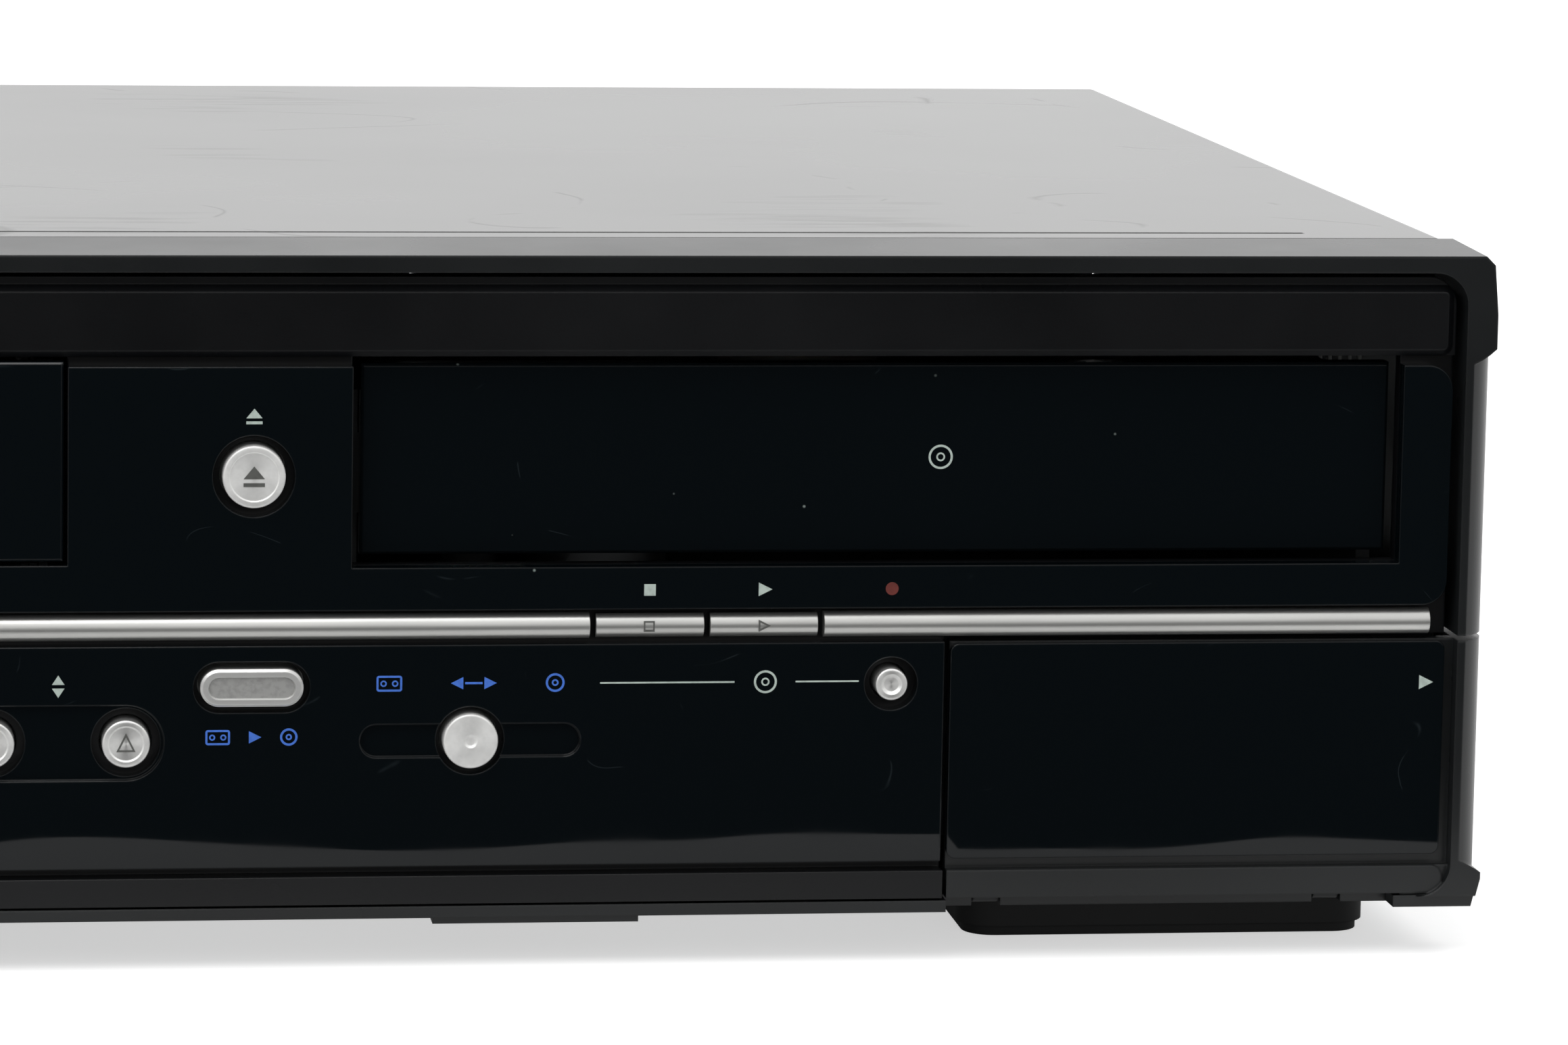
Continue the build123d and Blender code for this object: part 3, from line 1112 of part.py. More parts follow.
def spindle_motor():
    """The flat motor under the turntable, with a bore for its shaft."""
    top = TRAVERSE_BOTTOM + TRAVERSE_THICK - 1.4
    body = bar_z(DISC_MID, DISC_DEPTH, TRAVERSE_BOTTOM + 0.1, top, SPINDLE_MOTOR_RADIUS)
    return body - bar_z(DISC_MID, DISC_DEPTH, TRAVERSE_BOTTOM + 1, top + 1,
                        SPINDLE_RADIUS + PIN_CLEAR)


def turntable():
    """The turntable with its centring cone and shaft."""
    profile = make_face(Polyline(
        (0, TRAVERSE_BOTTOM + 1.2), (SPINDLE_RADIUS, TRAVERSE_BOTTOM + 1.2),
        (SPINDLE_RADIUS, TURNTABLE_TOP - 3.0), (TURNTABLE_RADIUS, TURNTABLE_TOP - 2.0),
        (TURNTABLE_RADIUS, TURNTABLE_TOP), (HUB_RADIUS, TURNTABLE_TOP),
        (HUB_RADIUS - 0.9, TURNTABLE_TOP + HUB_RISE), (0, TURNTABLE_TOP + HUB_RISE), close=True))
    body = revolve(Plane.XZ * profile, Axis.Z)
    return Pos(DISC_MID, at(DISC_DEPTH), 0) * body


def pickup_sled():
    """The optical pickup: a sled on the rods with the lens tower on top."""
    front = WINDOW_FRONT + 1.5
    back = front + SLED_LENGTH
    low = TRAVERSE_BOTTOM + 0.2
    sled = span(DISC_MID - SLED_HALF, DISC_MID + SLED_HALF, front, back, low, low + 4.6)
    sled += span(DISC_MID - 14, DISC_MID + 13, front, back, low, SLED_TOP)
    lens = bar_z(DISC_MID, front + 7, SLED_TOP - 0.6, SLED_TOP + 1, LENS_RADIUS)
    sled += chamfer(lens.edges().group_by(Axis.Z)[-1], 0.6)
    for x in (-ROD_OFFSET, ROD_OFFSET, SCREW_OFFSET):
        sled -= bar_y(DISC_MID + x, front - 1, back + 1, rod_z(), ROD_RADIUS + PIN_CLEAR)
    return sled


def clamp_bridge():
    """The steel bridge over the tray that holds the clamp puck."""
    front, rear = DISC_DEPTH - BRIDGE_HALF_DEPTH, DISC_DEPTH + BRIDGE_HALF_DEPTH
    bridge = span(DISC_MID - LOADER_HALF, DISC_MID + LOADER_HALF, front, rear, LOADER_TOP,
                  LOADER_TOP + BRIDGE_THICK)
    bridge -= bar_z(DISC_MID, DISC_DEPTH, LOADER_TOP - 1, LOADER_TOP + 3, PUCK_RADIUS + 0.6)
    for edge in (-1, 1):
        a, b = sorted((DISC_MID + edge * 32, DISC_MID + edge * 58))
        bridge -= span(a, b, DISC_DEPTH - 9, DISC_DEPTH + 9, LOADER_TOP - 1, LOADER_TOP + 3)
    return bridge


def clamp_puck():
    """The magnetic puck that presses the disc on the turntable."""
    low = LOADER_TOP + BRIDGE_THICK + CLEAR
    puck = bar_z(DISC_MID, DISC_DEPTH, PUCK_BOTTOM, low + 0.2, PUCK_RADIUS)
    return puck + bar_z(DISC_MID, DISC_DEPTH, low, low + 1.6, PUCK_FLANGE)


# ================================================================ cassette door and deck
def cassette_door():
    """The door that a cassette pushes in: a glossy plate on two arms with pivot pins."""
    x0, x1 = TAPE_LEFT + DOOR_GAP, TAPE_RIGHT - DOOR_GAP
    low, high = TAPE_FLOOR + DOOR_GAP, BROW_BOTTOM - DOOR_GAP
    door = span(x0, x1, GLOSS_FACE, GLOSS_BACK, low, high)
    door = chamfer(door.edges().group_by(Axis.Y)[0], 0.3)
    root = BROW_BOTTOM - 1.5
    arm = outline((GLOSS_BACK - 0.5, root - 4.7), (DOOR_PIVOT_DEPTH + 1.4, root - 3.2),
                  (DOOR_PIVOT_DEPTH + 2.2, DOOR_PIVOT_Z), (DOOR_PIVOT_DEPTH, DOOR_PIVOT_Z + 2.2),
                  (FASCIA_BACK + 0.5, DOOR_PIVOT_Z + 0.8), (FASCIA_BACK + 0.5, root),
                  (GLOSS_BACK - 0.5, root))
    for edge in (-1, 1):
        end = door_pin_end(edge)
        face = end - edge * 3.5
        a, b = sorted((face, face - edge * DOOR_ARM_WIDTH))
        door += side(arm, a, b)
        a, b = sorted((face - edge, end - edge * 0.2))
        door += bar_x(a, b, DOOR_PIVOT_DEPTH, DOOR_PIVOT_Z, DOOR_PIN)
    return door


def deck_chassis():
    """The cassette deck's steel frame: base, two side walls, and the lower drum."""
    base_top = DECK_BASE + DECK_WALL
    x0, x1 = TAPE_MID - DECK_HALF, TAPE_MID + DECK_HALF
    frame = span(x0, x1, DECK_FRONT, DECK_REAR, DECK_BASE, base_top)
    wall = outline((DECK_FRONT, DECK_BASE), (DECK_REAR, DECK_BASE), (DECK_REAR, DECK_BASE + 34),
                   (LIFT_FRONT + LIFT_LENGTH + LIFT_TRAVEL + 6, DECK_WALL_TOP),
                   (DECK_WALL_FRONT, DECK_WALL_TOP), (DECK_WALL_FRONT, BASKET_FLOOR),
                   (DECK_FRONT, BASKET_FLOOR - 2))
    frame += side(wall, x0, x0 + DECK_WALL)
    frame += side(wall, x1 - DECK_WALL, x1)
    frame -= span(TAPE_MID - DECK_WINDOW_HALF, TAPE_MID + DECK_WINDOW_HALF, *DECK_WINDOW,
                  DECK_BASE - 1, base_top + 1)
    frame += bar_z(TAPE_MID, DRUM_DEPTH, base_top - 0.4, DRUM_BOTTOM + DRUM_HALF_HEIGHT,
                   DRUM_RADIUS)
    frame -= bar_z(TAPE_MID, DRUM_DEPTH, DRUM_BOTTOM, 90, 3.0 + PIN_CLEAR)
    cap_x, cap_d = TAPE_MID + CAPSTAN_PLACE[0], CAPSTAN_PLACE[1]
    frame += bar_z(cap_x, cap_d, base_top - 0.4, base_top + 6, 4.5)
    frame -= bar_z(cap_x, cap_d, DECK_BASE - 1, 60, CAPSTAN_RADIUS + PIN_CLEAR)
    for edge in (-1, 1):
        x = TAPE_MID + edge * REEL_SPACING / 2
        frame += bar_z(x, REEL_DEPTH, base_top - 0.4, base_top + 8, REEL_PIN)
    frame += bar_z(cap_x + PINCH_OFFSET[0], cap_d + PINCH_OFFSET[1], base_top - 0.4,
                   base_top + PINCH_TALL, PINCH_POST)
    for x in (x0 + 8, x1 - 8):
        for depth in (DECK_FRONT + 10, DECK_REAR - 10):
            frame += bar_z(x, depth, PAN_BOTTOM + PAN_THICK, DECK_BASE + 0.5, 3.5)
    return frame


def head_drum():
    """The spinning upper drum, a plain polished cup on its shaft."""
    low = DRUM_BOTTOM + DRUM_HALF_HEIGHT + CLEAR
    drum = bar_z(TAPE_MID, DRUM_DEPTH, low, low + DRUM_HALF_HEIGHT, DRUM_RADIUS)
    drum -= bar_z(TAPE_MID, DRUM_DEPTH, low + 4, low + 20, DRUM_RADIUS - 7)
    drum += bar_z(TAPE_MID, DRUM_DEPTH, low + 3, low + DRUM_HALF_HEIGHT + 1, 9)
    return drum + bar_z(TAPE_MID, DRUM_DEPTH, DRUM_BOTTOM + 0.4, low + 1, 3.0)


def tape_guides():
    """The fixed guide posts and the two fixed head blocks beside the drum."""
    top = DECK_BASE + DECK_WALL
    outer, inner, row = DECK_HALF - 14.6, DRUM_RADIUS + 13, CAPSTAN_PLACE[1]
    posts = [bar_z(TAPE_MID + x, d, top, top + GUIDE_TALL, GUIDE_RADIUS)
             for x, d in ((-outer, row - 8), (-inner, row - 4), (inner - 8, row - 4),
                          (outer, row - 8))]
    for x in (2 - (outer + inner) / 2 - 4, (outer + inner) / 2):
        posts.append(span(TAPE_MID + x - 7, TAPE_MID + x + 7, row - 4, row + 4, top,
                          top + HEAD_TALL))
    return Compound(children=posts)


def capstan():
    """The capstan shaft with its flywheel under the deck."""
    x, depth = TAPE_MID + CAPSTAN_PLACE[0], CAPSTAN_PLACE[1]
    flywheel = bar_z(x, depth, DECK_BASE - 7, DECK_BASE - 1.2, FLYWHEEL_RADIUS)
    return flywheel + bar_z(x, depth, DECK_BASE - 2, DECK_BASE + 30, CAPSTAN_RADIUS)


def pinch_roller():
    """The rubber roller that presses the tape on the capstan."""
    x = TAPE_MID + CAPSTAN_PLACE[0] + PINCH_OFFSET[0]
    depth = CAPSTAN_PLACE[1] + PINCH_OFFSET[1]
    low = DECK_BASE + DECK_WALL + CLEAR
    roller = bar_z(x, depth, low + 4, low + 18, PINCH_RADIUS)
    roller += bar_z(x, depth, low, low + 5, 3.4)
    return roller - bar_z(x, depth, low - 1, low + PINCH_TALL, PINCH_POST + PIN_CLEAR)


def reel(edge):
    """A reel table: a disc with a splined post, turning on a pin of the deck."""
    x = TAPE_MID + edge * REEL_SPACING / 2
    low = DECK_BASE + DECK_WALL + CLEAR
    table = bar_z(x, REEL_DEPTH, low, low + 3.5, REEL_RADIUS)
    table += bar_z(x, REEL_DEPTH, low + 3, low + 15, REEL_POST)
    for spline in range(3):
        fin = Pos(REEL_POST, 0, 0) * Box(3.0, 1.4, 9)
        fin = Rot(0, 0, spline * 120) * fin
        table += Pos(x, at(REEL_DEPTH), low + 8) * fin
    return table - bar_z(x, REEL_DEPTH, low - 1, low + 9, REEL_PIN + PIN_CLEAR)


def lift_frame():
    """The carriage that runs in along the deck walls and guides the basket down."""
    outer = DECK_HALF - DECK_WALL - CLEAR
    front, back = LIFT_FRONT, LIFT_FRONT + LIFT_LENGTH
    frame = span(TAPE_MID - outer, TAPE_MID + outer, front + 8, back, LIFT_TOP - 1.0, LIFT_TOP)
    for edge in (-1, 1):
        a, b = sorted((TAPE_MID + edge * (outer - 1.0), TAPE_MID + edge * outer))
        frame += span(a, b, front, back, BASKET_FLOOR - 2, LIFT_TOP)
    frame -= span(TAPE_MID - 60, TAPE_MID + 60, front + 16, back - 8, LIFT_TOP - 2, LIFT_TOP + 1)
    return frame


def cassette_basket():
    """The basket that holds the cassette: two side ledges under a bridge plate."""
    outer = DECK_HALF - DECK_WALL - 2 * CLEAR - 1.0
    front, back = LIFT_FRONT + 1, LIFT_FRONT + LIFT_LENGTH - 1
    floor = BASKET_FLOOR - 1.2
    basket = span(TAPE_MID - outer, TAPE_MID + outer, front + 20, back, BASKET_TOP - 1.0,
                  BASKET_TOP)
    for edge in (-1, 1):
        a, b = sorted((TAPE_MID + edge * (outer - BASKET_WALL), TAPE_MID + edge * outer))
        basket += span(a, b, front, back, floor, BASKET_TOP)
        a, b = sorted((TAPE_MID + edge * (outer - LEDGE), TAPE_MID + edge * outer))
        basket += span(a, b, front, back, floor, floor + 1.0)
    return basket


# ================================================================ writing the parts
def build_parts():
    """Every node's name and its solid or group of solids."""
    parts = {
        "bottom_chassis": bottom_chassis(),
        "rear_panel": rear_panel(),
        "top_cover": top_cover(),
        "cover_screws": cover_screws(),
        "feet": feet(),
        "front_bezel": front_bezel(),
        "fascia_frame": fascia_frame(),
        "upper_gloss_panel": upper_gloss_panel(),
        "lower_gloss_panel": lower_gloss_panel(),
        "silver_strips": silver_strips(),
        "key_board": key_board(),
        "display_module": display_module(),
        "av_flap": av_flap(),
        "flap_face": flap_face(),
        "front_jack_panel": front_jack_panel(),
        "rca_jacks": rca_jacks(),
        "aerial_sockets": aerial_sockets(),
        "scart_sockets": scart_sockets(),
        "hdmi_socket": hdmi_socket(),
        "mains_inlet": mains_inlet(),
        "main_board": main_board(),
        "power_board": power_board(),
        "fan_frame": fan_frame(),
        "fan_rotor": fan_rotor(),
        "loader_frame": loader_frame(),
        "disc_tray": disc_tray(),
        "tray_panel": tray_panel(),
        "tray_gear": tray_gear(),
        "motor_pinion": motor_pinion(),
        "tray_motor": tray_motor(),
        "traverse_frame": traverse_frame(),
        "guide_rods": guide_rods(),
        "lead_screw": lead_screw(),
        "spindle_motor": spindle_motor(),
        "turntable": turntable(),
        "pickup_sled": pickup_sled(),
        "clamp_bridge": clamp_bridge(),
        "clamp_puck": clamp_puck(),
        "cassette_door": cassette_door(),
        "deck_chassis": deck_chassis(),
        "head_drum": head_drum(),
        "tape_guides": tape_guides(),
        "capstan": capstan(),
        "pinch_roller": pinch_roller(),
        "supply_reel": reel(-1),
        "take_up_reel": reel(1),
        "lift_frame": lift_frame(),
        "cassette_basket": cassette_basket(),
        "dubbing_button": dubbing_button(),
    }
    for name, (x, z, radius, _) in round_keys().items():
        parts[name] = round_key(x, z, radius)
    for name, left in strip_keys().items():
        parts[name] = strip_key(left)
    return parts


os.makedirs("parts", exist_ok=True)
for name, shape in build_parts().items():
    export_step(shape, f"parts/{name}.step")
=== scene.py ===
# %% [markdown]
# # A disc recorder with a cassette deck
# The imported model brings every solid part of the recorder, already in place and in metres.
# Its shapes are right, so they stay, and Blender gives them their finishes, the small prints,
# the turned keys, the screws with cross recesses and the coloured rings in the sockets. Then
# comes the studio: a pale floor, soft light and the camera.

import json
import math

import bmesh
import bpy
from mathutils import Matrix, Vector


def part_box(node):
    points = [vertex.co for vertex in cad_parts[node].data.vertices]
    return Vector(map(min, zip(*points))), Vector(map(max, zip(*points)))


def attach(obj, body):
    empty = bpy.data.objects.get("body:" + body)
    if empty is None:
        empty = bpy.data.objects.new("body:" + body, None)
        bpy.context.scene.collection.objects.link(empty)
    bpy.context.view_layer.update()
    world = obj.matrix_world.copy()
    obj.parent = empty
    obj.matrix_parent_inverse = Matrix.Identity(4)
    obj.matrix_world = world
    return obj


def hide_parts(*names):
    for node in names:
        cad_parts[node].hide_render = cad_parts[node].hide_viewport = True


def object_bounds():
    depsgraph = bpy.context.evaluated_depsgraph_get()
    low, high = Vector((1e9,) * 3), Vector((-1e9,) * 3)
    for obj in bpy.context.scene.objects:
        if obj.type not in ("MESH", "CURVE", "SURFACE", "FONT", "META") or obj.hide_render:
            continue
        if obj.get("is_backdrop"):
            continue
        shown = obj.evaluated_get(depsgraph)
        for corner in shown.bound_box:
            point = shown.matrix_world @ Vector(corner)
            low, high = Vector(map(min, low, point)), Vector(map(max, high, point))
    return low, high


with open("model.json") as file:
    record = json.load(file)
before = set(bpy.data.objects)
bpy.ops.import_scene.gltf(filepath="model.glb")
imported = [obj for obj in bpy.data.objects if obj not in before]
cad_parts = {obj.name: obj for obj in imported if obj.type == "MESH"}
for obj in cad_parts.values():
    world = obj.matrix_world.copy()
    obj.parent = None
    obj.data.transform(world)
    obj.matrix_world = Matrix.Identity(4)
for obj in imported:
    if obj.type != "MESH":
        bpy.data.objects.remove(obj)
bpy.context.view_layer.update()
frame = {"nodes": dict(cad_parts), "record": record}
nodes = frame["nodes"]
MM = 0.001
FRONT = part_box("front_bezel")[0].y
print("nodes", len(nodes), "front at", round(FRONT, 4))

# %% [markdown]
# ## Tools for finishes
# A finish is a small network of nodes. A few helpers keep each one readable: one turns a
# colour as read from a screen into the linear light that shaders work in, and one adds a node
# with its settings and its links in a single line. Patterns read Object coordinates, which are
# the real metres of the part, so a pattern's scale is worked out from its real grain size.

# %% Colour and node helpers
def colour(code):
    steps = [int(code[i:i + 2], 16) / 255 for i in (1, 3, 5)]
    return [c / 12.92 if c <= 0.04045 else ((c + 0.055) / 1.055) ** 2.4 for c in steps] + [1.0]


def shade(tone, share):
    """The same colour, with this share of its light."""
    return [c * share for c in tone[:3]] + [1]


def grey(level):
    return (level, level, level, 1)


def per_metre(size_mm):
    """A pattern's scale: how many of its grains, of this size, fit into a metre."""
    return 1 / (size_mm * MM)


def stretch(sizes_mm):
    """The scales along X, Y and Z of a pattern whose grains have these sizes."""
    return [per_metre(size) for size in sizes_mm]


def add_node(tree, kind, settings=None, links=None):
    """Settings name sockets and properties, and a colour ramp's stops are one of them."""
    node = tree.nodes.new("ShaderNode" + kind)
    for key, value in (settings or {}).items():
        if key == "stops":
            ends = node.color_ramp.elements
            for i, (position, tone) in enumerate(value):
                element = ends[i] if i < 2 else ends.new(position)
                element.position, element.color = position, tone
        elif isinstance(key, int) or key in node.inputs:
            node.inputs[key].default_value = value
        else:
            setattr(node, key, value)
    for key, source in (links or {}).items():
        tree.links.new(source, node.inputs[key])
    return node


def start_material(name, settings):
    material = bpy.data.materials.new(name)
    material.use_nodes = True
    tree = material.node_tree
    tree.nodes.clear()
    shader = add_node(tree, "BsdfPrincipled", settings)
    add_node(tree, "OutputMaterial", None, {"Surface": shader.outputs["BSDF"]})
    place = add_node(tree, "TexCoord").outputs["Object"]
    return material, tree, shader, place


finishes = {}
print("a grain of 0.5 mm has the scale", per_metre(0.5))

# %% [markdown]
# ## Moulded black plastic
# The front frame and the brow are moulded in black plastic from a tool with a fine spark
# texture. A picture of such a grain would do, but noise needs no file. Two noises share the
# work: a fine one for the grain and a broad one for the slight polish where hands have been.
# The real grain, a tenth of a millimetre, is too fine to show, so it is drawn three times as
# coarse. A Bevel node rounds the edges in the light, as the mould does.

# %% Moulded black plastic
MOULD_GRAIN, HAND_POLISH = 0.3125, 35.714


def moulded_black(name, tone, gloss, bevel_mm, skin=0.0, ior=1.5):
    """gloss is the roughness, bevel_mm the edge radius and skin the share of a clear coat."""
    material, tree, shader, place = start_material(
        name, {"Roughness": gloss, "Coat Weight": skin, "Coat Roughness": 0.2, "IOR": ior})
    grain = add_node(tree, "TexNoise", {"Scale": per_metre(MOULD_GRAIN), "Detail": 2},
                     {"Vector": place})
    polish = add_node(tree, "TexNoise", {"Scale": per_metre(HAND_POLISH), "Detail": 4},
                      {"Vector": place})
    tones = [(0.3, shade(tone, 0.82)), (0.7, shade(tone, 1.25))]
    base = add_node(tree, "ValToRGB", {"stops": tones}, {"Fac": polish.outputs["Fac"]})
    tree.links.new(base.outputs[0], shader.inputs["Base Color"])
    satin = [(0.25, grey(gloss - 0.05)), (0.75, grey(gloss + 0.08))]
    shine = add_node(tree, "ValToRGB", {"stops": satin}, {"Fac": polish.outputs["Fac"]})
    tree.links.new(shine.outputs[0], shader.inputs["Roughness"])
    edge = add_node(tree, "Bevel", {"samples": 4, "Radius": bevel_mm * MM})
    bump = add_node(tree, "Bump", {"Strength": 0.35, "Distance": 0.02 * MM},
                    {"Height": grain.outputs["Fac"], "Normal": edge.outputs[0]})
    tree.links.new(bump.outputs[0], shader.inputs["Normal"])
    return material


finishes["black_abs"] = moulded_black("moulded_black_plastic", colour("#191b1c"), 0.27, 0.5,
                                      skin=0.25, ior=1.38)
brow_finish = moulded_black("satin_black_plastic", colour("#0c0d0f"), 0.28, 0.3, ior=1.4)
finishes["grey_plastic"] = moulded_black("moulded_grey_plastic", colour("#5b5d5e"), 0.5, 0.2)
finishes["rubber"] = moulded_black("black_rubber", colour("#131414"), 0.72, 0.3)
print("moulded finishes", sorted(finishes))

# %% [markdown]
# ## Piano-black panels
# The tray front, the doors and the plates beside the keys are clear-coated black. Black gloss
# shows itself by what it mirrors and by what lies on it: fine dust, short hairlines and a very
# slight wave of the moulding, which makes mirrored edges swim. Dust is a cell pattern cut off
# so high that only a few cells show. A hairline is a contour of a soft noise, as a height line
# is on a map, so it is long, thin and curved, and a second noise keeps only pieces of it.

# %% Curved scratches
def curved_scratches(tree, place, sizes_mm, half_width, keep):
    """White on thin curved lines, black elsewhere. A higher keep leaves more of them out."""
    spread = add_node(tree, "Mapping", {"Scale": stretch(sizes_mm)}, {"Vector": place}).outputs[0]
    height = add_node(tree, "TexNoise", {"Scale": 1, "Detail": 1}, {"Vector": spread})
    contour = [(0.5 - half_width, grey(0)), (0.5, grey(1)), (0.5 + half_width, grey(0))]
    lines = add_node(tree, "ValToRGB", {"stops": contour}, {"Fac": height.outputs["Fac"]})
    part = add_node(tree, "TexNoise", {"Scale": 2.6, "Detail": 2}, {"Vector": spread})
    kept = add_node(tree, "ValToRGB", {"stops": [(keep, grey(0)), (keep + 0.07, grey(1))]},
                    {"Fac": part.outputs["Fac"]})
    return add_node(tree, "Mix", {"data_type": "RGBA", "blend_type": "MULTIPLY", 0: 1.0},
                    {6: lines.outputs[0], 7: kept.outputs[0]}).outputs[2]


print("curved scratches ready")

# %% Piano-black panels
DUST_GAP, DUSTY_PATCH, MOULDING_WAVE = 4.1667, 13.333, 90.909
HAIR_SIZES = (23.81, 23.81, 16.667)


def piano_black(name):
    material, tree, shader, place = start_material(name, {"IOR": 1.42})
    dust = add_node(tree, "TexVoronoi", {"Scale": per_metre(DUST_GAP)}, {"Vector": place})
    pick = add_node(tree, "TexNoise", {"Scale": per_metre(DUSTY_PATCH), "Detail": 2},
                    {"Vector": place})
    near = add_node(tree, "ValToRGB", {"stops": [(0.02, grey(1)), (0.06, grey(0))]},
                    {"Fac": dust.outputs["Distance"]})
    some = add_node(tree, "ValToRGB", {"stops": [(0.57, grey(0)), (0.63, grey(1))]},
                    {"Fac": pick.outputs["Fac"]})
    specks = add_node(tree, "Mix", {"data_type": "RGBA", "blend_type": "MULTIPLY", 0: 1.0},
                      {6: near.outputs[0], 7: some.outputs[0]}).outputs[2]
    hairs = curved_scratches(tree, place, HAIR_SIZES, 0.0016, 0.6)
    dusty = add_node(tree, "Mix", {"data_type": "RGBA", "blend_type": "MIX",
                                   6: colour("#070c0f"), 7: colour("#7d8783")},
                     {0: specks}).outputs[2]
    worn = add_node(tree, "Mix", {"data_type": "RGBA", "blend_type": "MIX", 7: colour("#1d2326")},
                    {0: hairs, 6: dusty}).outputs[2]
    tree.links.new(worn, shader.inputs["Base Color"])
    shine = add_node(tree, "ValToRGB", {"stops": [(0.3, grey(0.015)), (0.8, grey(0.05))]},
                     {"Fac": pick.outputs["Fac"]})
    tree.links.new(shine.outputs[0], shader.inputs["Roughness"])
    wave = add_node(tree, "TexNoise", {"Scale": per_metre(MOULDING_WAVE), "Detail": 1},
                    {"Vector": place})
    edge = add_node(tree, "Bevel", {"samples": 4, "Radius": 0.3 * MM})
    bump = add_node(tree, "Bump", {"Strength": 0.5, "Distance": 0.25 * MM},
                    {"Height": wave.outputs["Fac"], "Normal": edge.outputs[0]})
    tree.links.new(bump.outputs[0], shader.inputs["Normal"])
    return material


finishes["gloss_black"] = piano_black("piano_black")
print(finishes["gloss_black"].name, "nodes", len(finishes["gloss_black"].node_tree.nodes))

# %% [markdown]
# ## Silver strip and spun keys
# The strip is plastic with silver paint: tiny flakes, so it is a metal with a soft shine. Real
# flakes are a few hundredths of a millimetre, and they are drawn coarser, so that they show.
# The round keys are turned on a lathe. Their fine rings spread a highlight into two light
# sectors, which is what anisotropy does, and a radial tangent round the key's own middle turns
# it. The open, power and select keys mirror less and take a larger share of plain diffuse light
# on their pale base colour, so they look brighter: a painted highlight in place of their brighter
# reflection.

# %% Silver paint
PAINT_FLAKE, RUB_SIZES = 0.19231, (28.571, 16.667, 2.5)


def silver_paint(name, tone, rough):
    material, tree, shader, place = start_material(name, {"Metallic": 0.85})
    flake = add_node(tree, "TexVoronoi", {"Scale": per_metre(PAINT_FLAKE)}, {"Vector": place})
    spread = add_node(tree, "Mapping", {"Scale": stretch(RUB_SIZES)}, {"Vector": place})
    rub = add_node(tree, "TexNoise", {"Scale": 1, "Detail": 4}, {"Vector": spread.outputs[0]})
    base = add_node(tree, "ValToRGB", {"stops": [(0.32, shade(tone, 0.86)), (0.6, tone)]},
                    {"Fac": rub.outputs["Fac"]})
    tree.links.new(base.outputs[0], shader.inputs["Base Color"])
    satin = [(0.3, grey(rough + 0.08)), (0.7, grey(rough))]
    shine = add_node(tree, "ValToRGB", {"stops": satin}, {"Fac": rub.outputs["Fac"]})
    tree.links.new(shine.outputs[0], shader.inputs["Roughness"])
    edge = add_node(tree, "Bevel", {"samples": 4, "Radius": 0.15 * MM})
    bump = add_node(tree, "Bump", {"Strength": 0.12, "Distance": 0.01 * MM},
                    {"Height": flake.outputs["Distance"], "Normal": edge.outputs[0]})
    tree.links.new(bump.outputs[0], shader.inputs["Normal"])
    return material


finishes["silver_plastic"] = silver_paint("silver_paint", colour("#d3d3d0"), 0.3)
print(finishes["silver_plastic"].name, "with flakes of", PAINT_FLAKE, "mm")

# %% Spun metal
TOOL_RIPPLE, RING_SPREAD = 1.1111, 0.82


def spun_metal(name, tone, rough, metal):
    """metal is the share of mirrored light. The rest is plain diffuse light on the pale base
    colour; a larger rest makes a key brighter, a painted highlight in place of its brighter
    reflection.
    """
    material, tree, shader, place = start_material(
        name, {"Metallic": metal, "Roughness": rough, "Anisotropic": RING_SPREAD})
    ripple = add_node(tree, "TexNoise", {"Scale": per_metre(TOOL_RIPPLE), "Detail": 3},
                      {"Vector": place})
    base = add_node(tree, "ValToRGB", {"stops": [(0.35, shade(tone, 0.9)), (0.65, tone)]},
                    {"Fac": ripple.outputs["Fac"]})
    tree.links.new(base.outputs[0], shader.inputs["Base Color"])
    turn = add_node(tree, "Tangent", {"direction_type": "RADIAL", "axis": "Y"})
    tree.links.new(turn.outputs[0], shader.inputs["Tangent"])
    edge = add_node(tree, "Bevel", {"samples": 4, "Radius": 0.12 * MM})
    bump = add_node(tree, "Bump", {"Strength": 0.15, "Distance": 0.006 * MM},
                    {"Height": ripple.outputs["Fac"], "Normal": edge.outputs[0]})
    tree.links.new(bump.outputs[0], shader.inputs["Normal"])
    return material


finishes["spun_metal"] = spun_metal("spun_aluminium", colour("#f2f2f0"), 0.38, 0.8)
# The same metal, mirroring less, so more diffuse light on the pale base: a painted highlight for
# the brighter keys.
highlighted_spun_metal = spun_metal("spun_aluminium_painted_highlight", colour("#f2f2f0"), 0.38, 0.42)
print(finishes["spun_metal"].name, highlighted_spun_metal.name)

# %% [markdown]
# ## Painted steel lid
# The lid is folded sheet steel with a thin satin black paint under a clear coat. Seen almost
# along its surface it mirrors the bright wall behind it and looks pale, while from above it
# is black. Years of things put down on it left long curved scratches and rubbed patches, which
# no longer mirror and so look darker from the front.

# %% Painted steel
PAINT_GRAIN, PAINT_CLOUD, RUBBED_PATCH = 0.66667, 142.86, 76.923
LONG_SCRATCHES, SHORT_SCRATCHES = (200, 125, 200), (66.667, 47.619, 66.667)
RUB_STREAKS = (22.222, 3.125, 22.222)


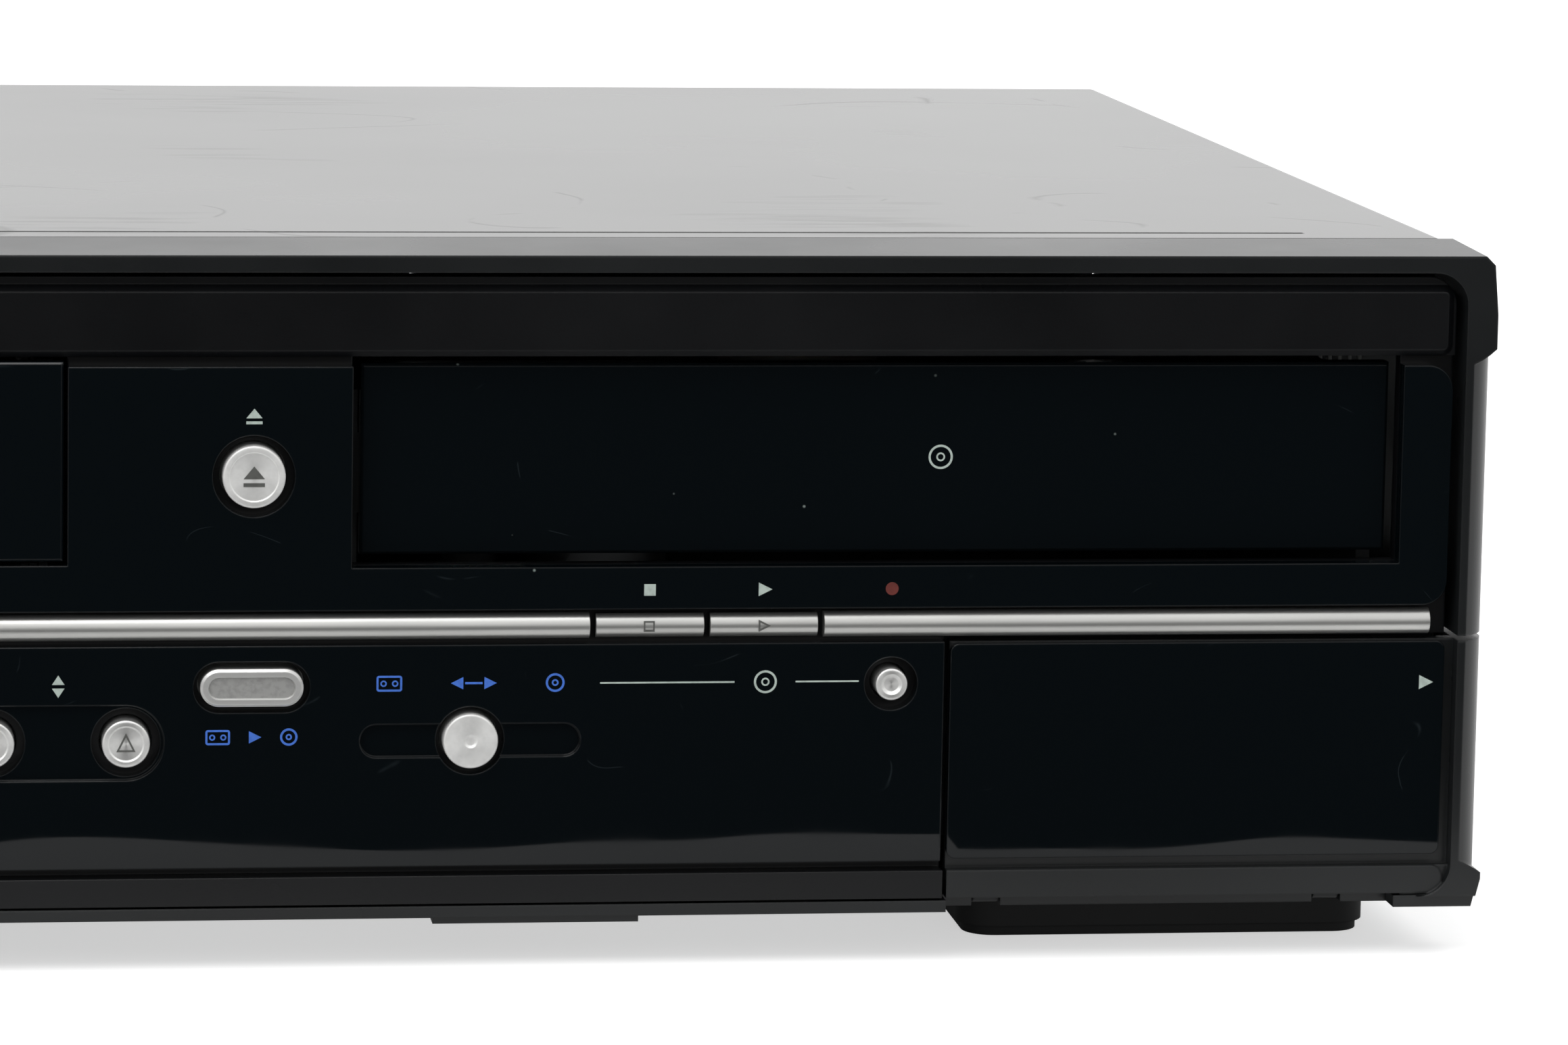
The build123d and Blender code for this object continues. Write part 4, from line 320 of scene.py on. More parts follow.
def worn_marks(tree, place):
    """Where the lid is marked: long and short scratches, and patches rubbed across."""
    long = curved_scratches(tree, place, LONG_SCRATCHES, 0.0026, 0.5)
    short = curved_scratches(tree, place, SHORT_SCRATCHES, 0.0052, 0.55)
    spread = add_node(tree, "Mapping", {"Scale": stretch(RUB_STREAKS)}, {"Vector": place})
    rubs = add_node(tree, "TexNoise", {"Scale": 1, "Detail": 5}, {"Vector": spread.outputs[0]})
    streaks = add_node(tree, "ValToRGB", {"stops": [(0.5, grey(0)), (0.68, grey(0.8))]},
                       {"Fac": rubs.outputs["Fac"]})
    patch = add_node(tree, "TexNoise", {"Scale": per_metre(RUBBED_PATCH), "Detail": 2},
                     {"Vector": place})
    here = add_node(tree, "ValToRGB", {"stops": [(0.57, grey(0)), (0.66, grey(1))]},
                    {"Fac": patch.outputs["Fac"]})
    rubbed = add_node(tree, "Mix", {"data_type": "RGBA", "blend_type": "MULTIPLY", 0: 1.0},
                      {6: streaks.outputs[0], 7: here.outputs[0]}).outputs[2]
    marks = long
    for more in (short, rubbed):
        marks = add_node(tree, "Mix", {"data_type": "RGBA", "blend_type": "LIGHTEN", 0: 1.0},
                         {6: marks, 7: more}).outputs[2]
    return marks


def painted_steel(name):
    material, tree, shader, place = start_material(
        name, {"IOR": 1.5, "Coat Weight": 0.72, "Coat Roughness": 0.2, "Coat IOR": 1.5})
    fine = add_node(tree, "TexNoise", {"Scale": per_metre(PAINT_GRAIN), "Detail": 2},
                    {"Vector": place})
    broad = add_node(tree, "TexNoise", {"Scale": per_metre(PAINT_CLOUD), "Detail": 4},
                     {"Vector": place})
    marks = worn_marks(tree, place)
    tones = [(0.3, colour("#232423")), (0.75, colour("#323331"))]
    base = add_node(tree, "ValToRGB", {"stops": tones}, {"Fac": broad.outputs["Fac"]})
    worn = add_node(tree, "Mix", {"data_type": "RGBA", "blend_type": "MIX", 7: colour("#3a3b38")},
                    {0: marks, 6: base.outputs[0]}).outputs[2]
    tree.links.new(worn, shader.inputs["Base Color"])
    satin = add_node(tree, "ValToRGB", {"stops": [(0.3, grey(0.25)), (0.7, grey(0.31))]},
                     {"Fac": broad.outputs["Fac"]})
    rough = add_node(tree, "Mix", {"data_type": "RGBA", "blend_type": "MIX", 7: grey(0.5)},
                     {0: marks, 6: satin.outputs[0]}).outputs[2]
    tree.links.new(rough, shader.inputs["Roughness"])
    edge = add_node(tree, "Bevel", {"samples": 4, "Radius": 0.4 * MM})
    dents = add_node(tree, "Mix", {"data_type": "RGBA", "blend_type": "SUBTRACT", 0: 1.0},
                     {6: fine.outputs["Fac"], 7: marks})
    bump = add_node(tree, "Bump", {"Strength": 0.3, "Distance": 0.012 * MM},
                    {"Height": dents.outputs[2], "Normal": edge.outputs[0]})
    tree.links.new(bump.outputs[0], shader.inputs["Normal"])
    tree.links.new(bump.outputs[0], shader.inputs["Coat Normal"])
    return material


finishes["black_steel"] = painted_steel("satin_painted_steel")
print(finishes["black_steel"].name, "nodes", len(finishes["black_steel"].node_tree.nodes))

# %% [markdown]
# ## Bare metals inside and behind
# Zinc-coated sheet shows large dull crystals, turned and ground parts show fine lines, and
# plating is smooth. One function makes them all, because they differ only in tone, shine and
# the sizes of the pattern along X, Y and Z.

# %% Bare metals
def bare_metal(name, tone, rough, sizes_mm, contrast):
    """sizes_mm are those of a crystal or a tool line, and contrast its darkest share."""
    material, tree, shader, place = start_material(name, {"Metallic": 1.0})
    spread = add_node(tree, "Mapping", {"Scale": stretch(sizes_mm)}, {"Vector": place}).outputs[0]
    crystal = add_node(tree, "TexVoronoi", {"Scale": 1}, {"Vector": spread})
    haze = add_node(tree, "TexNoise", {"Scale": 1, "Detail": 4}, {"Vector": spread})
    base = add_node(tree, "ValToRGB", {"stops": [(0.1, shade(tone, contrast)), (0.8, tone)]},
                    {"Fac": crystal.outputs["Color"]})
    tree.links.new(base.outputs[0], shader.inputs["Base Color"])
    shine = add_node(tree, "ValToRGB", {"stops": [(0.3, grey(rough)), (0.7, grey(rough + 0.14))]},
                     {"Fac": haze.outputs["Fac"]})
    tree.links.new(shine.outputs[0], shader.inputs["Roughness"])
    bump = add_node(tree, "Bump", {"Strength": 0.1, "Distance": 0.01 * MM},
                    {"Height": haze.outputs["Fac"]})
    tree.links.new(bump.outputs[0], shader.inputs["Normal"])
    return material


BARE_METALS = {
    "zinc_steel": ("zinc_coated_steel", "#b4b7b8", 0.38, (5.8824, 5.8824, 5.8824), 0.72),
    "steel_bar": ("ground_steel", "#c6c7c9", 0.18, (1.1111, 16.667, 1.1111), 0.9),
    "drum_alloy": ("turned_alloy", "#d5d6d8", 0.16, (16.667, 16.667, 0.38462), 0.88),
    "brass": ("turned_brass", "#c9a35a", 0.24, (8.3333, 8.3333, 0.41667), 0.85),
    "jack_plating": ("nickel_plate", "#cfcbc0", 0.14, (3.3333, 3.3333, 3.3333), 0.93)}
for slot, (name, code, rough, sizes_mm, contrast) in BARE_METALS.items():
    finishes[slot] = bare_metal(name, colour(code), rough, sizes_mm, contrast)
print("bare metals", list(BARE_METALS))

# %% [markdown]
# ## Boards, nylon parts and the display glass
# The boards are green solder mask with pale joints, the gears are white acetal, which lets a
# little light in, and the display is dark smoked glass with a fine mesh inside.

# %% Circuit board
def circuit_board(name):
    material, tree, shader, place = start_material(name, {"Roughness": 0.35})
    tracks = add_node(tree, "TexBrick", {
        "Scale": per_metre(3.8462), "Color1": colour("#1c4a30"), "Color2": colour("#24573a"),
        "Mortar": colour("#12331f"), "Mortar Size": 0.03}, {"Vector": place})
    joints = add_node(tree, "TexVoronoi", {"Scale": per_metre(3.0303)}, {"Vector": place})
    solder = add_node(tree, "ValToRGB", {"stops": [(0.12, grey(1)), (0.16, grey(0))]},
                      {"Fac": joints.outputs["Distance"]}).outputs[0]
    mask = add_node(tree, "Mix", {"data_type": "RGBA", "blend_type": "MIX", 7: colour("#b9bdb8")},
                    {0: solder, 6: tracks.outputs["Color"]}).outputs[2]
    tree.links.new(mask, shader.inputs["Base Color"])
    bump = add_node(tree, "Bump", {"Strength": 0.4, "Distance": 0.05 * MM}, {"Height": solder})
    tree.links.new(bump.outputs[0], shader.inputs["Normal"])
    return material


finishes["board"] = circuit_board("green_circuit_board")
print(finishes["board"].name)

# %% White acetal
def acetal(name):
    material, tree, shader, place = start_material(
        name, {"Roughness": 0.38, "Subsurface Weight": 0.15, "Subsurface Scale": 1.5 * MM})
    flow = add_node(tree, "TexNoise", {"Scale": per_metre(8.3333), "Detail": 4},
                    {"Vector": place})
    tones = [(0.3, colour("#d9d8d0")), (0.7, colour("#ecebe4"))]
    base = add_node(tree, "ValToRGB", {"stops": tones}, {"Fac": flow.outputs["Fac"]})
    tree.links.new(base.outputs[0], shader.inputs["Base Color"])
    bump = add_node(tree, "Bump", {"Strength": 0.15, "Distance": 0.02 * MM},
                    {"Height": flow.outputs["Fac"]})
    tree.links.new(bump.outputs[0], shader.inputs["Normal"])
    return material


finishes["white_acetal"] = acetal("white_acetal")
print(finishes["white_acetal"].name)

# %% Smoked display glass
def smoked_glass(name):
    material, tree, shader, place = start_material(name, {"Roughness": 0.06, "IOR": 1.5})
    upright = add_node(tree, "Mapping", {"Rotation": (math.pi / 2, 0, 0)},
                       {"Vector": place}).outputs[0]
    mesh_lines = add_node(tree, "TexBrick", {
        "Scale": per_metre(1.1111), "offset": 0.0, "Color1": colour("#0b1012"),
        "Color2": colour("#0d1315"), "Mortar": colour("#1b2628"), "Mortar Size": 0.04},
        {"Vector": upright})
    tree.links.new(mesh_lines.outputs["Color"], shader.inputs["Base Color"])
    return material


finishes["display_glass"] = smoked_glass("smoked_display_glass")
print(finishes["display_glass"].name)

# %% [markdown]
# ## Dress the CAD parts
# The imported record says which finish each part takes. Every part gets that finish, and its
# mesh isn't touched.

# %% Dress the CAD parts
for entry in frame["record"]["subparts"]:
    node = nodes[entry["node"]]
    finish = finishes[entry["material_slot"]]
    if not node.data.materials:
        node.data.materials.append(finish)
    for number in range(len(node.data.materials)):
        node.data.materials[number] = finish
nodes["fascia_frame"].data.materials[0] = brow_finish
print("dressed", len(nodes), "nodes with", len(finishes), "finishes")

# %% [markdown]
# ## Prints on the fascia
# Small pictograms are screen-printed beside the keys: a square to stop, a triangle to play, a
# dot to record, a ring for a disc and a box with two reels for a cassette. Each is a flat
# outline, made from a filled circle with few or many corners, stretched, turned, hollowed by
# an inset and given the thickness of thick ink. Marks in one ink are joined into one piece.

# %% Ink marks
GLOSS_DEPTH = 1.2
INK = 0.05


def select_only(piece):
    bpy.ops.object.select_all(action="DESELECT")
    piece.select_set(True)
    bpy.context.view_layer.objects.active = piece


def settle(piece):
    """Moves a piece's place from its object into its mesh."""
    bpy.context.view_layer.update()
    piece.data.transform(piece.matrix_world)
    piece.matrix_world = Matrix.Identity(4)


def mark(corners, x, z, width, height, turn=0.0, line=0.0, round_off=0.0):
    """A flat inked outline that faces the front: line is the ink's width, or 0 for filled."""
    bpy.ops.object.select_all(action="DESELECT")
    bpy.ops.mesh.primitive_circle_add(vertices=corners, radius=1, fill_type="NGON")
    piece = bpy.context.object
    bpy.ops.object.mode_set(mode="EDIT")
    bpy.ops.mesh.select_all(action="SELECT")
    bpy.ops.transform.rotate(value=-math.radians(turn), orient_axis="Z",
                             center_override=(0, 0, 0))
    bpy.ops.object.mode_set(mode="OBJECT")
    xs = [v.co.x for v in piece.data.vertices]
    ys = [v.co.y for v in piece.data.vertices]
    wide, tall = max(xs) - min(xs), max(ys) - min(ys)
    middle = Vector(((max(xs) + min(xs)) / 2, (max(ys) + min(ys)) / 2, 0))
    piece.data.transform(Matrix.Diagonal((width * MM / wide, height * MM / tall, 1, 1))
                         @ Matrix.Translation(-middle))
    bpy.ops.object.mode_set(mode="EDIT")
    bpy.ops.mesh.select_all(action="SELECT")
    if round_off:
        bpy.ops.mesh.bevel(offset=round_off * MM, segments=4, affect="VERTICES")
        bpy.ops.mesh.select_all(action="SELECT")
    if line:
        bpy.ops.mesh.inset(thickness=line * MM, depth=0)
        bpy.ops.mesh.delete(type="ONLY_FACE")
        bpy.ops.mesh.select_all(action="SELECT")
    bpy.ops.mesh.extrude_region_move(TRANSFORM_OT_translate={"value": (0, 0, INK * 2 * MM)})
    bpy.ops.mesh.select_all(action="SELECT")
    bpy.ops.mesh.normals_make_consistent(inside=False)
    bpy.ops.object.mode_set(mode="OBJECT")
    piece.rotation_euler = (math.pi / 2, 0, 0)
    piece.location = (x * MM, FRONT + (GLOSS_DEPTH + INK) * MM, z * MM)
    settle(piece)
    return piece


def triangle(x, z, size, right=True):
    return [mark(3, x, z, size, size, turn=-90 if right else 90)]


def square(x, z, size):
    return [mark(4, x, z, size, size, turn=45)]


def bar(x, z, width, height):
    return [mark(4, x, z, width, height, turn=45)]


def dot(x, z, size):
    return [mark(28, x, z, size, size)]


def ring(x, z, size, line):
    return [mark(36, x, z, size, size, line=line)]


def disc_sign(x, z, size):
    return ring(x, z, size, 0.3) + ring(x, z, size * 0.36, 0.22)


def cassette_sign(x, z, size):
    shell = mark(4, x, z, size * 1.6, size, turn=45, line=0.28, round_off=0.35)
    return [shell] + ring(x - size * 0.36, z, size * 0.4, 0.2) + ring(
        x + size * 0.36, z, size * 0.4, 0.2)


def eject_sign(x, z, size):
    return [mark(3, x, z + size * 0.2, size, size * 0.6)] + bar(x, z - size * 0.38, size,
                                                               size * 0.18)


def power_sign(x, z, size):
    return ring(x, z, size, 0.28) + bar(x, z + size * 0.3, 0.3, size * 0.55)


def at_depth(marks, depth):
    """Moves marks to a face that lies this many mm behind the frame's foremost face."""
    for piece in marks:
        piece.data.transform(Matrix.Translation((0, (depth - GLOSS_DEPTH) * MM, 0)))
    return marks


def join_pieces(name, pieces, finish):
    select_only(pieces[0])
    for other in pieces:
        other.select_set(True)
    if len(pieces) > 1:
        bpy.ops.object.join()
    piece = bpy.context.object
    piece.name = name
    piece.data.materials.clear()
    piece.data.materials.append(finish)
    return piece


def print_ink(name, marks, finish, body):
    piece = join_pieces(name, marks, finish)
    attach(piece, body)
    print(name, "marks", len(marks), "faces", len(piece.data.polygons))
    return piece


print("ink stands", INK, "mm proud of the gloss")

# %% Inks
INK_GRAIN = 0.71429


def ink(name, tone):
    material, tree, shader, place = start_material(name, {"Roughness": 0.5})
    worn = add_node(tree, "TexNoise", {"Scale": per_metre(INK_GRAIN), "Detail": 3},
                    {"Vector": place})
    base = add_node(tree, "ValToRGB", {"stops": [(0.3, shade(tone, 0.8)), (0.55, tone)]},
                    {"Fac": worn.outputs["Fac"]})
    tree.links.new(base.outputs[0], shader.inputs["Base Color"])
    bump = add_node(tree, "Bump", {"Strength": 0.2, "Distance": 0.01 * MM},
                    {"Height": worn.outputs["Fac"]})
    tree.links.new(bump.outputs[0], shader.inputs["Normal"])
    return material


pale_ink = ink("pale_green_ink", colour("#b9c7bf"))
blue_ink = ink("blue_ink", colour("#3f74d8"))
red_ink = ink("dull_red_ink", colour("#6e2a22"))
print("inks ready")

# %% Prints beside the keys
STOP_X, PLAY_X, RECORD_X, OPEN_X, POWER_X = 100.0, 116.0, 133.6, 45.6, -195.2
ABOVE_KEY_Z, LABEL_Z, ROW_Z, BLUE_ROW_Z, DUB_ROW_Z = 76.6, 52.5, 39.6, 39.7, 32.4
LINE, LONG_LINE, SHORT_LINE = 0.22, (102.6, 18.6), (124.8, 8.8)
SIGN_X, PROGRAM_X, PROGRAM_GAP = 116.2, 19.2, 0.9
pale = eject_sign(OPEN_X, ABOVE_KEY_Z, 2.2) + power_sign(POWER_X, ABOVE_KEY_Z, 2.4)
red = []
for side in (1, -1):
    pale += square(side * STOP_X, LABEL_Z, 1.6) + triangle(side * PLAY_X, LABEL_Z, 1.9)
    red += dot(side * RECORD_X, LABEL_Z, 1.8)
    pale += bar(side * LONG_LINE[0], ROW_Z, LONG_LINE[1], LINE)
    pale += bar(side * SHORT_LINE[0], ROW_Z, SHORT_LINE[1], LINE)
pale += disc_sign(SIGN_X, ROW_Z, 3.2) + cassette_sign(-SIGN_X, ROW_Z, 2.4)
for side, turn in ((1, 0), (-1, 180)):
    pale.append(mark(3, PROGRAM_X, ROW_Z + side * PROGRAM_GAP, 1.7, 1.3, turn=turn))
print_ink("pale_prints", pale, pale_ink, "chassis")
print_ink("record_prints", red, red_ink, "chassis")

# %% Blue prints
SELECT_X, SELECT_STEP = 75.9, 2.3
blue = cassette_sign(64.3, BLUE_ROW_Z, 2.2) + disc_sign(87.1, BLUE_ROW_Z, 2.6)
blue += triangle(SELECT_X + SELECT_STEP, BLUE_ROW_Z, 1.7)
blue += triangle(SELECT_X - SELECT_STEP, BLUE_ROW_Z, 1.7, right=False)
blue += bar(SELECT_X, BLUE_ROW_Z, 2.4, 0.3)
blue += cassette_sign(40.9, DUB_ROW_Z, 2.1) + triangle(46.0, DUB_ROW_Z, 1.7)
blue += disc_sign(50.6, DUB_ROW_Z, 2.4)
print_ink("blue_prints", blue, blue_ink, "chassis")

# %% Prints on the flap and the tray front
FLAP_MARK, TRAY_MARK, TRAY_FACE_DEPTH = (209.2, 38.9), (140.6, 70.3), 4.7
print_ink("flap_print", triangle(*FLAP_MARK, 2.0), pale_ink, "av_flap")
print_ink("tray_print", at_depth(disc_sign(*TRAY_MARK, 3.4), TRAY_FACE_DEPTH), pale_ink,
          "disc_tray")

# %% [markdown]
# ## Turned keys
# The round keys are aluminium turned on a lathe, each with its own face: the select key has a
# small dimple for the fingertip, the record keys a deep dish, and the others a shallow one
# inside a bright rim. The CAD heads are plain, so each key is modelled here from a cylinder:
# the back is extruded to the flange and the stem, the rim is bevelled, and two insets sink the
# dish. A spin of a profile would do as well, but insets keep every ring a clean loop.

# %% One turned key
KEY_FACE, FLANGE_FRONT, FLANGE_BACK, STEM_END = 0.5, 6.6, 7.6, 9.45
FLANGE_REACH, STEM_RADIUS, RIM, KEY_SIDES = 0.9, 1.5, 0.35, 72


def pick_faces(piece, test):
    """Selects the faces for which the test is true, and nothing else."""
    bpy.ops.mesh.select_all(action="DESELECT")
    bpy.ops.mesh.select_mode(type="FACE")
    mesh = bmesh.from_edit_mesh(piece.data)
    for face in mesh.faces:
        face.select_set(test(face))
    bmesh.update_edit_mesh(piece.data)


def step_out(radius, new_radius, length):
    """Widens or narrows a fresh copy of the picked end face, then draws it out."""
    bpy.ops.mesh.extrude_region_move(TRANSFORM_OT_translate={"value": (0, 0, 0)})
    share = new_radius / radius
    bpy.ops.transform.resize(value=(share, share, 1), center_override=(0, 0, 0))
    bpy.ops.mesh.extrude_region_move(TRANSFORM_OT_translate={"value": (0, 0, -length * MM)})


def sink_dish(piece, radius, dish, depth):
    """Rounds the rim, then sinks the middle of the face in two steps."""
    pick_faces(piece, lambda face: face.normal.z > 0.9)
    bpy.ops.mesh.bevel(offset=RIM * MM, segments=4, affect="EDGES")
    pick_faces(piece, lambda face: face.normal.z > 0.9 and len(face.verts) > 20)
    bpy.ops.mesh.inset(thickness=(radius - RIM - dish) * MM, depth=0)
    bpy.ops.mesh.inset(thickness=depth * 1.1 * MM, depth=-depth * 0.8 * MM)
    bpy.ops.mesh.inset(thickness=dish * 0.35 * MM, depth=-depth * 0.2 * MM)


def turned_key(node, dish, depth, finish):
    low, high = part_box(node)
    flange = (high.x - low.x) / 2 / MM
    radius = flange - FLANGE_REACH
    head = FLANGE_FRONT - KEY_FACE
    bpy.ops.object.select_all(action="DESELECT")
    bpy.ops.mesh.primitive_cylinder_add(vertices=KEY_SIDES, radius=radius * MM, depth=head * MM,
                                        location=(0, 0, -head / 2 * MM))
    piece = bpy.context.object
    piece.name = "turned_" + node
    settle(piece)
    bpy.ops.object.mode_set(mode="EDIT")
    pick_faces(piece, lambda face: face.normal.z < -0.9)
    step_out(radius, flange, FLANGE_BACK - FLANGE_FRONT)
    step_out(flange, STEM_RADIUS, STEM_END - FLANGE_BACK)
    sink_dish(piece, radius, dish, depth)
    bpy.ops.object.mode_set(mode="OBJECT")
    piece.rotation_euler = (math.pi / 2, 0, 0)
    middle = (low + high) / 2
    piece.location = (middle.x, FRONT + KEY_FACE * MM, middle.z)
    settle(piece)
    bpy.ops.object.shade_smooth_by_angle(angle=math.radians(24))
    piece.data.materials.append(finish)
    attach(piece, node)
    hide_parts(node)
    gap = max(abs(a - b) for a, b in zip(piece.dimensions, high - low))
    print(piece.name, "faces", len(piece.data.polygons), "off by mm", round(gap / MM, 3))
    return piece


print("a key is", STEM_END - KEY_FACE, "mm long")

# %% Seven turned keys
KEY_DISHES = {"open_close_button": (3.45, 0.16), "power_button": (3.45, 0.16),
              "program_up_button": (2.5, 0.2), "program_down_button": (2.5, 0.2),
              "select_button": (0.95, 0.3), "disc_record_button": (1.45, 0.4),
              "tape_record_button": (1.45, 0.4)}
# These keys take the brighter finish, a painted highlight.
HIGHLIGHTED_KEYS = ("open_close_button", "power_button", "select_button")
for node, (dish, depth) in KEY_DISHES.items():
    finish = highlighted_spun_metal if node in HIGHLIGHTED_KEYS else finishes["spun_metal"]
    turned_key(node, dish, depth, finish)

# %% [markdown]
# ## Signs on the keys
# The signs on the keys are engraved and filled with grey. They are thin inlays on the face,
# which ride on the key, so that they move when it is pressed.

# %% Signs on the keys
grey_fill = ink("grey_engraving_fill", colour("#5a5b58"))
STRIP_KEY_FACE, STRIP_Z, ROUND_KEY_Z = 1.3, 47.4, 68.4
WIDE_DISH, SMALL_DISH = 0.16, 0.2
PROGRAM_UP, PROGRAM_DOWN = (28.4, 31.9), (10.0, 31.5)


def outline_triangle(x, z, size, turn):
    return [mark(3, x, z, size, size, turn=turn, line=0.24)]


key_signs = {
    "open_close_button": at_depth(eject_sign(OPEN_X, ROUND_KEY_Z, 2.9), KEY_FACE + WIDE_DISH),
    "power_button": at_depth(power_sign(POWER_X, ROUND_KEY_Z, 2.9), KEY_FACE + WIDE_DISH),
    "program_up_button": at_depth(outline_triangle(*PROGRAM_UP, 2.6, 0),
                                  KEY_FACE + SMALL_DISH),
    "program_down_button": at_depth(outline_triangle(*PROGRAM_DOWN, 2.6, 180),
                                    KEY_FACE + SMALL_DISH)}
for side, maker in ((1, "disc"), (-1, "tape")):
    stop = [mark(4, side * STOP_X, STRIP_Z, 1.5, 1.5, turn=45, line=0.2)]
    play = outline_triangle(side * PLAY_X, STRIP_Z, 1.7, -90)
    key_signs[maker + "_stop_button"] = at_depth(stop, STRIP_KEY_FACE)
    key_signs[maker + "_play_button"] = at_depth(play, STRIP_KEY_FACE)
for body, marks in key_signs.items():
    print_ink(body.replace("button", "sign"), marks, grey_fill, body)

# %% [markdown]
# ## The oblong key
# The oblong key isn't turned: it is moulded and painted a bright silver. Its sunk middle is the
# same silver but looks grey under the light, so a grey sheet is laid into it: painted shade. The
# sheet is a square stretched to length, with its corners rounded by half its height, so that its
# ends are half circles.

# %% Oblong key
DUB_PLACE, DUB_SHADE_SIZE, DUB_SHADE_DEPTH = (45.5, 39.3), (11.7, 2.8), 0.35
NEARLY_HALF = DUB_SHADE_SIZE[1] / 2 - 0.02
nodes["dubbing_button"].data.materials[0] = silver_paint("bright_silver_paint",
                                                         colour("#f0f0ee"), 0.36)
# A grey sheet on the key's sunk middle: painted shade; the silver under it is the same.
dub_shade_sheet = mark(4, *DUB_PLACE, *DUB_SHADE_SIZE, turn=45, round_off=NEARLY_HALF)
print_ink("dubbing_painted_shade", at_depth([dub_shade_sheet], KEY_FACE + DUB_SHADE_DEPTH),
          ink("grey_painted_shade", colour("#9b9b99")), "dubbing_button")

# %% [markdown]
# ## Screws with cross recesses
# Seven screws hold the lid. The CAD keeps them as plain domes, and here one head is modelled
# in full: a cylinder, its top edge rounded by a bevel, and a cross cut in by a boolean with
# two blades. The head is copied to the seven places and stands for the CAD node.

# %% One screw head
HEAD_RADIUS, HEAD_HEIGHT, HEAD_ROUND = 3.2, 1.8, 0.9
CROSS_LENGTH, CROSS_WIDTH, CROSS_TALL, CROSS_Z, CROSS_TAPER = 3.6, 0.75, 2.0, 1.75, 0.45


def cross_blade(turn):
    """A bar that tapers downwards, laid across the head at this quarter turn."""
    bpy.ops.object.select_all(action="DESELECT")
    bpy.ops.mesh.primitive_cube_add(size=1)
    blade = bpy.context.object
    blade.scale = (CROSS_LENGTH * MM, CROSS_WIDTH * MM, CROSS_TALL * MM)
    blade.location = (0, 0, CROSS_Z * MM)
    blade.rotation_euler = (0, 0, turn * math.pi / 2)
    settle(blade)
    bpy.ops.object.mode_set(mode="EDIT")
    pick_faces(blade, lambda face: face.normal.z < -0.9)
    bpy.ops.transform.resize(value=(CROSS_TAPER, CROSS_TAPER, 1))
    bpy.ops.object.mode_set(mode="OBJECT")
    return blade


bpy.ops.object.select_all(action="DESELECT")
bpy.ops.mesh.primitive_cylinder_add(vertices=40, radius=HEAD_RADIUS * MM,
                                    depth=HEAD_HEIGHT * MM,
                                    location=(0, 0, HEAD_HEIGHT / 2 * MM))
head = bpy.context.object
head.name = "screw_head"
settle(head)
bpy.ops.object.mode_set(mode="EDIT")
pick_faces(head, lambda face: face.normal.z > 0.9)
bpy.ops.mesh.bevel(offset=HEAD_ROUND * MM, segments=4, affect="EDGES")
bpy.ops.object.mode_set(mode="OBJECT")
for blade in [cross_blade(turn) for turn in (0, 1)]:
    select_only(head)
    cut = head.modifiers.new("cross", "BOOLEAN")
    cut.object, cut.operation, cut.solver = blade, "DIFFERENCE", "EXACT"
    bpy.ops.object.modifier_apply(modifier="cross")
    bpy.data.objects.remove(blade)
select_only(head)
bpy.ops.object.shade_smooth_by_angle(angle=math.radians(35))
print("screw head faces", len(head.data.polygons))

# %% Seven screws
SIDE_DEPTHS, SIDE_Z = (70.0, 215.0), 16
REAR_XS, REAR_DEPTH, REAR_Z = (-190.0, 0.0, 190.0), 260, 94.5
low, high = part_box("top_cover")
seats = []
for side in (-1, 1):
    for depth in SIDE_DEPTHS:
        seats.append(((side * high.x, FRONT + depth * MM, SIDE_Z * MM),
                      (0, side * math.pi / 2, 0)))
for x in REAR_XS:
    seats.append(((x * MM, FRONT + REAR_DEPTH * MM, REAR_Z * MM), (-math.pi / 2, 0, 0)))
screws = []
for place, turn in seats:
    screw = head.copy()
    screw.data = head.data.copy()
    bpy.context.scene.collection.objects.link(screw)
    screw.location, screw.rotation_euler = place, turn
    settle(screw)
    screws.append(screw)
bpy.data.objects.remove(head)
screws = join_pieces("cross_head_screws", screws, finishes["black_steel"])
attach(screws, "chassis")
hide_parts("cover_screws")
print("screws", [round(v, 4) for v in screws.dimensions])

# %% [markdown]
# ## Coloured rings in the phono sockets
# Each socket has a plastic ring round its middle hole: yellow for the picture, white and red
# for the sound. One ring is a circle with an inset, its inner face removed and the rest raised
# with a rounded rim, and it is copied to the nine sockets.

# %% Ring colours
ring_finishes = {}
for name, code in (("yellow", "#d8b21c"), ("white", "#dcdcd6"), ("red", "#b3231c")):
    ring_finishes[name] = ink(f"{name}_socket_plastic", colour(code))
print(sorted(ring_finishes))

# %% Socket rings
RING_RADIUS, RING_WIDTH, RING_HEIGHT, RING_ROUND = 3.3, 1.65, 0.5, 0.12
REAR_FIRST_X, REAR_STEP, REAR_ROWS, REAR_SINK = 20, 14, (44.0, 62.0), 0.35
FRONT_FIRST_X, FRONT_STEP, FRONT_ROW, FRONT_DEPTH = 159.4, 18, 29, 10.35


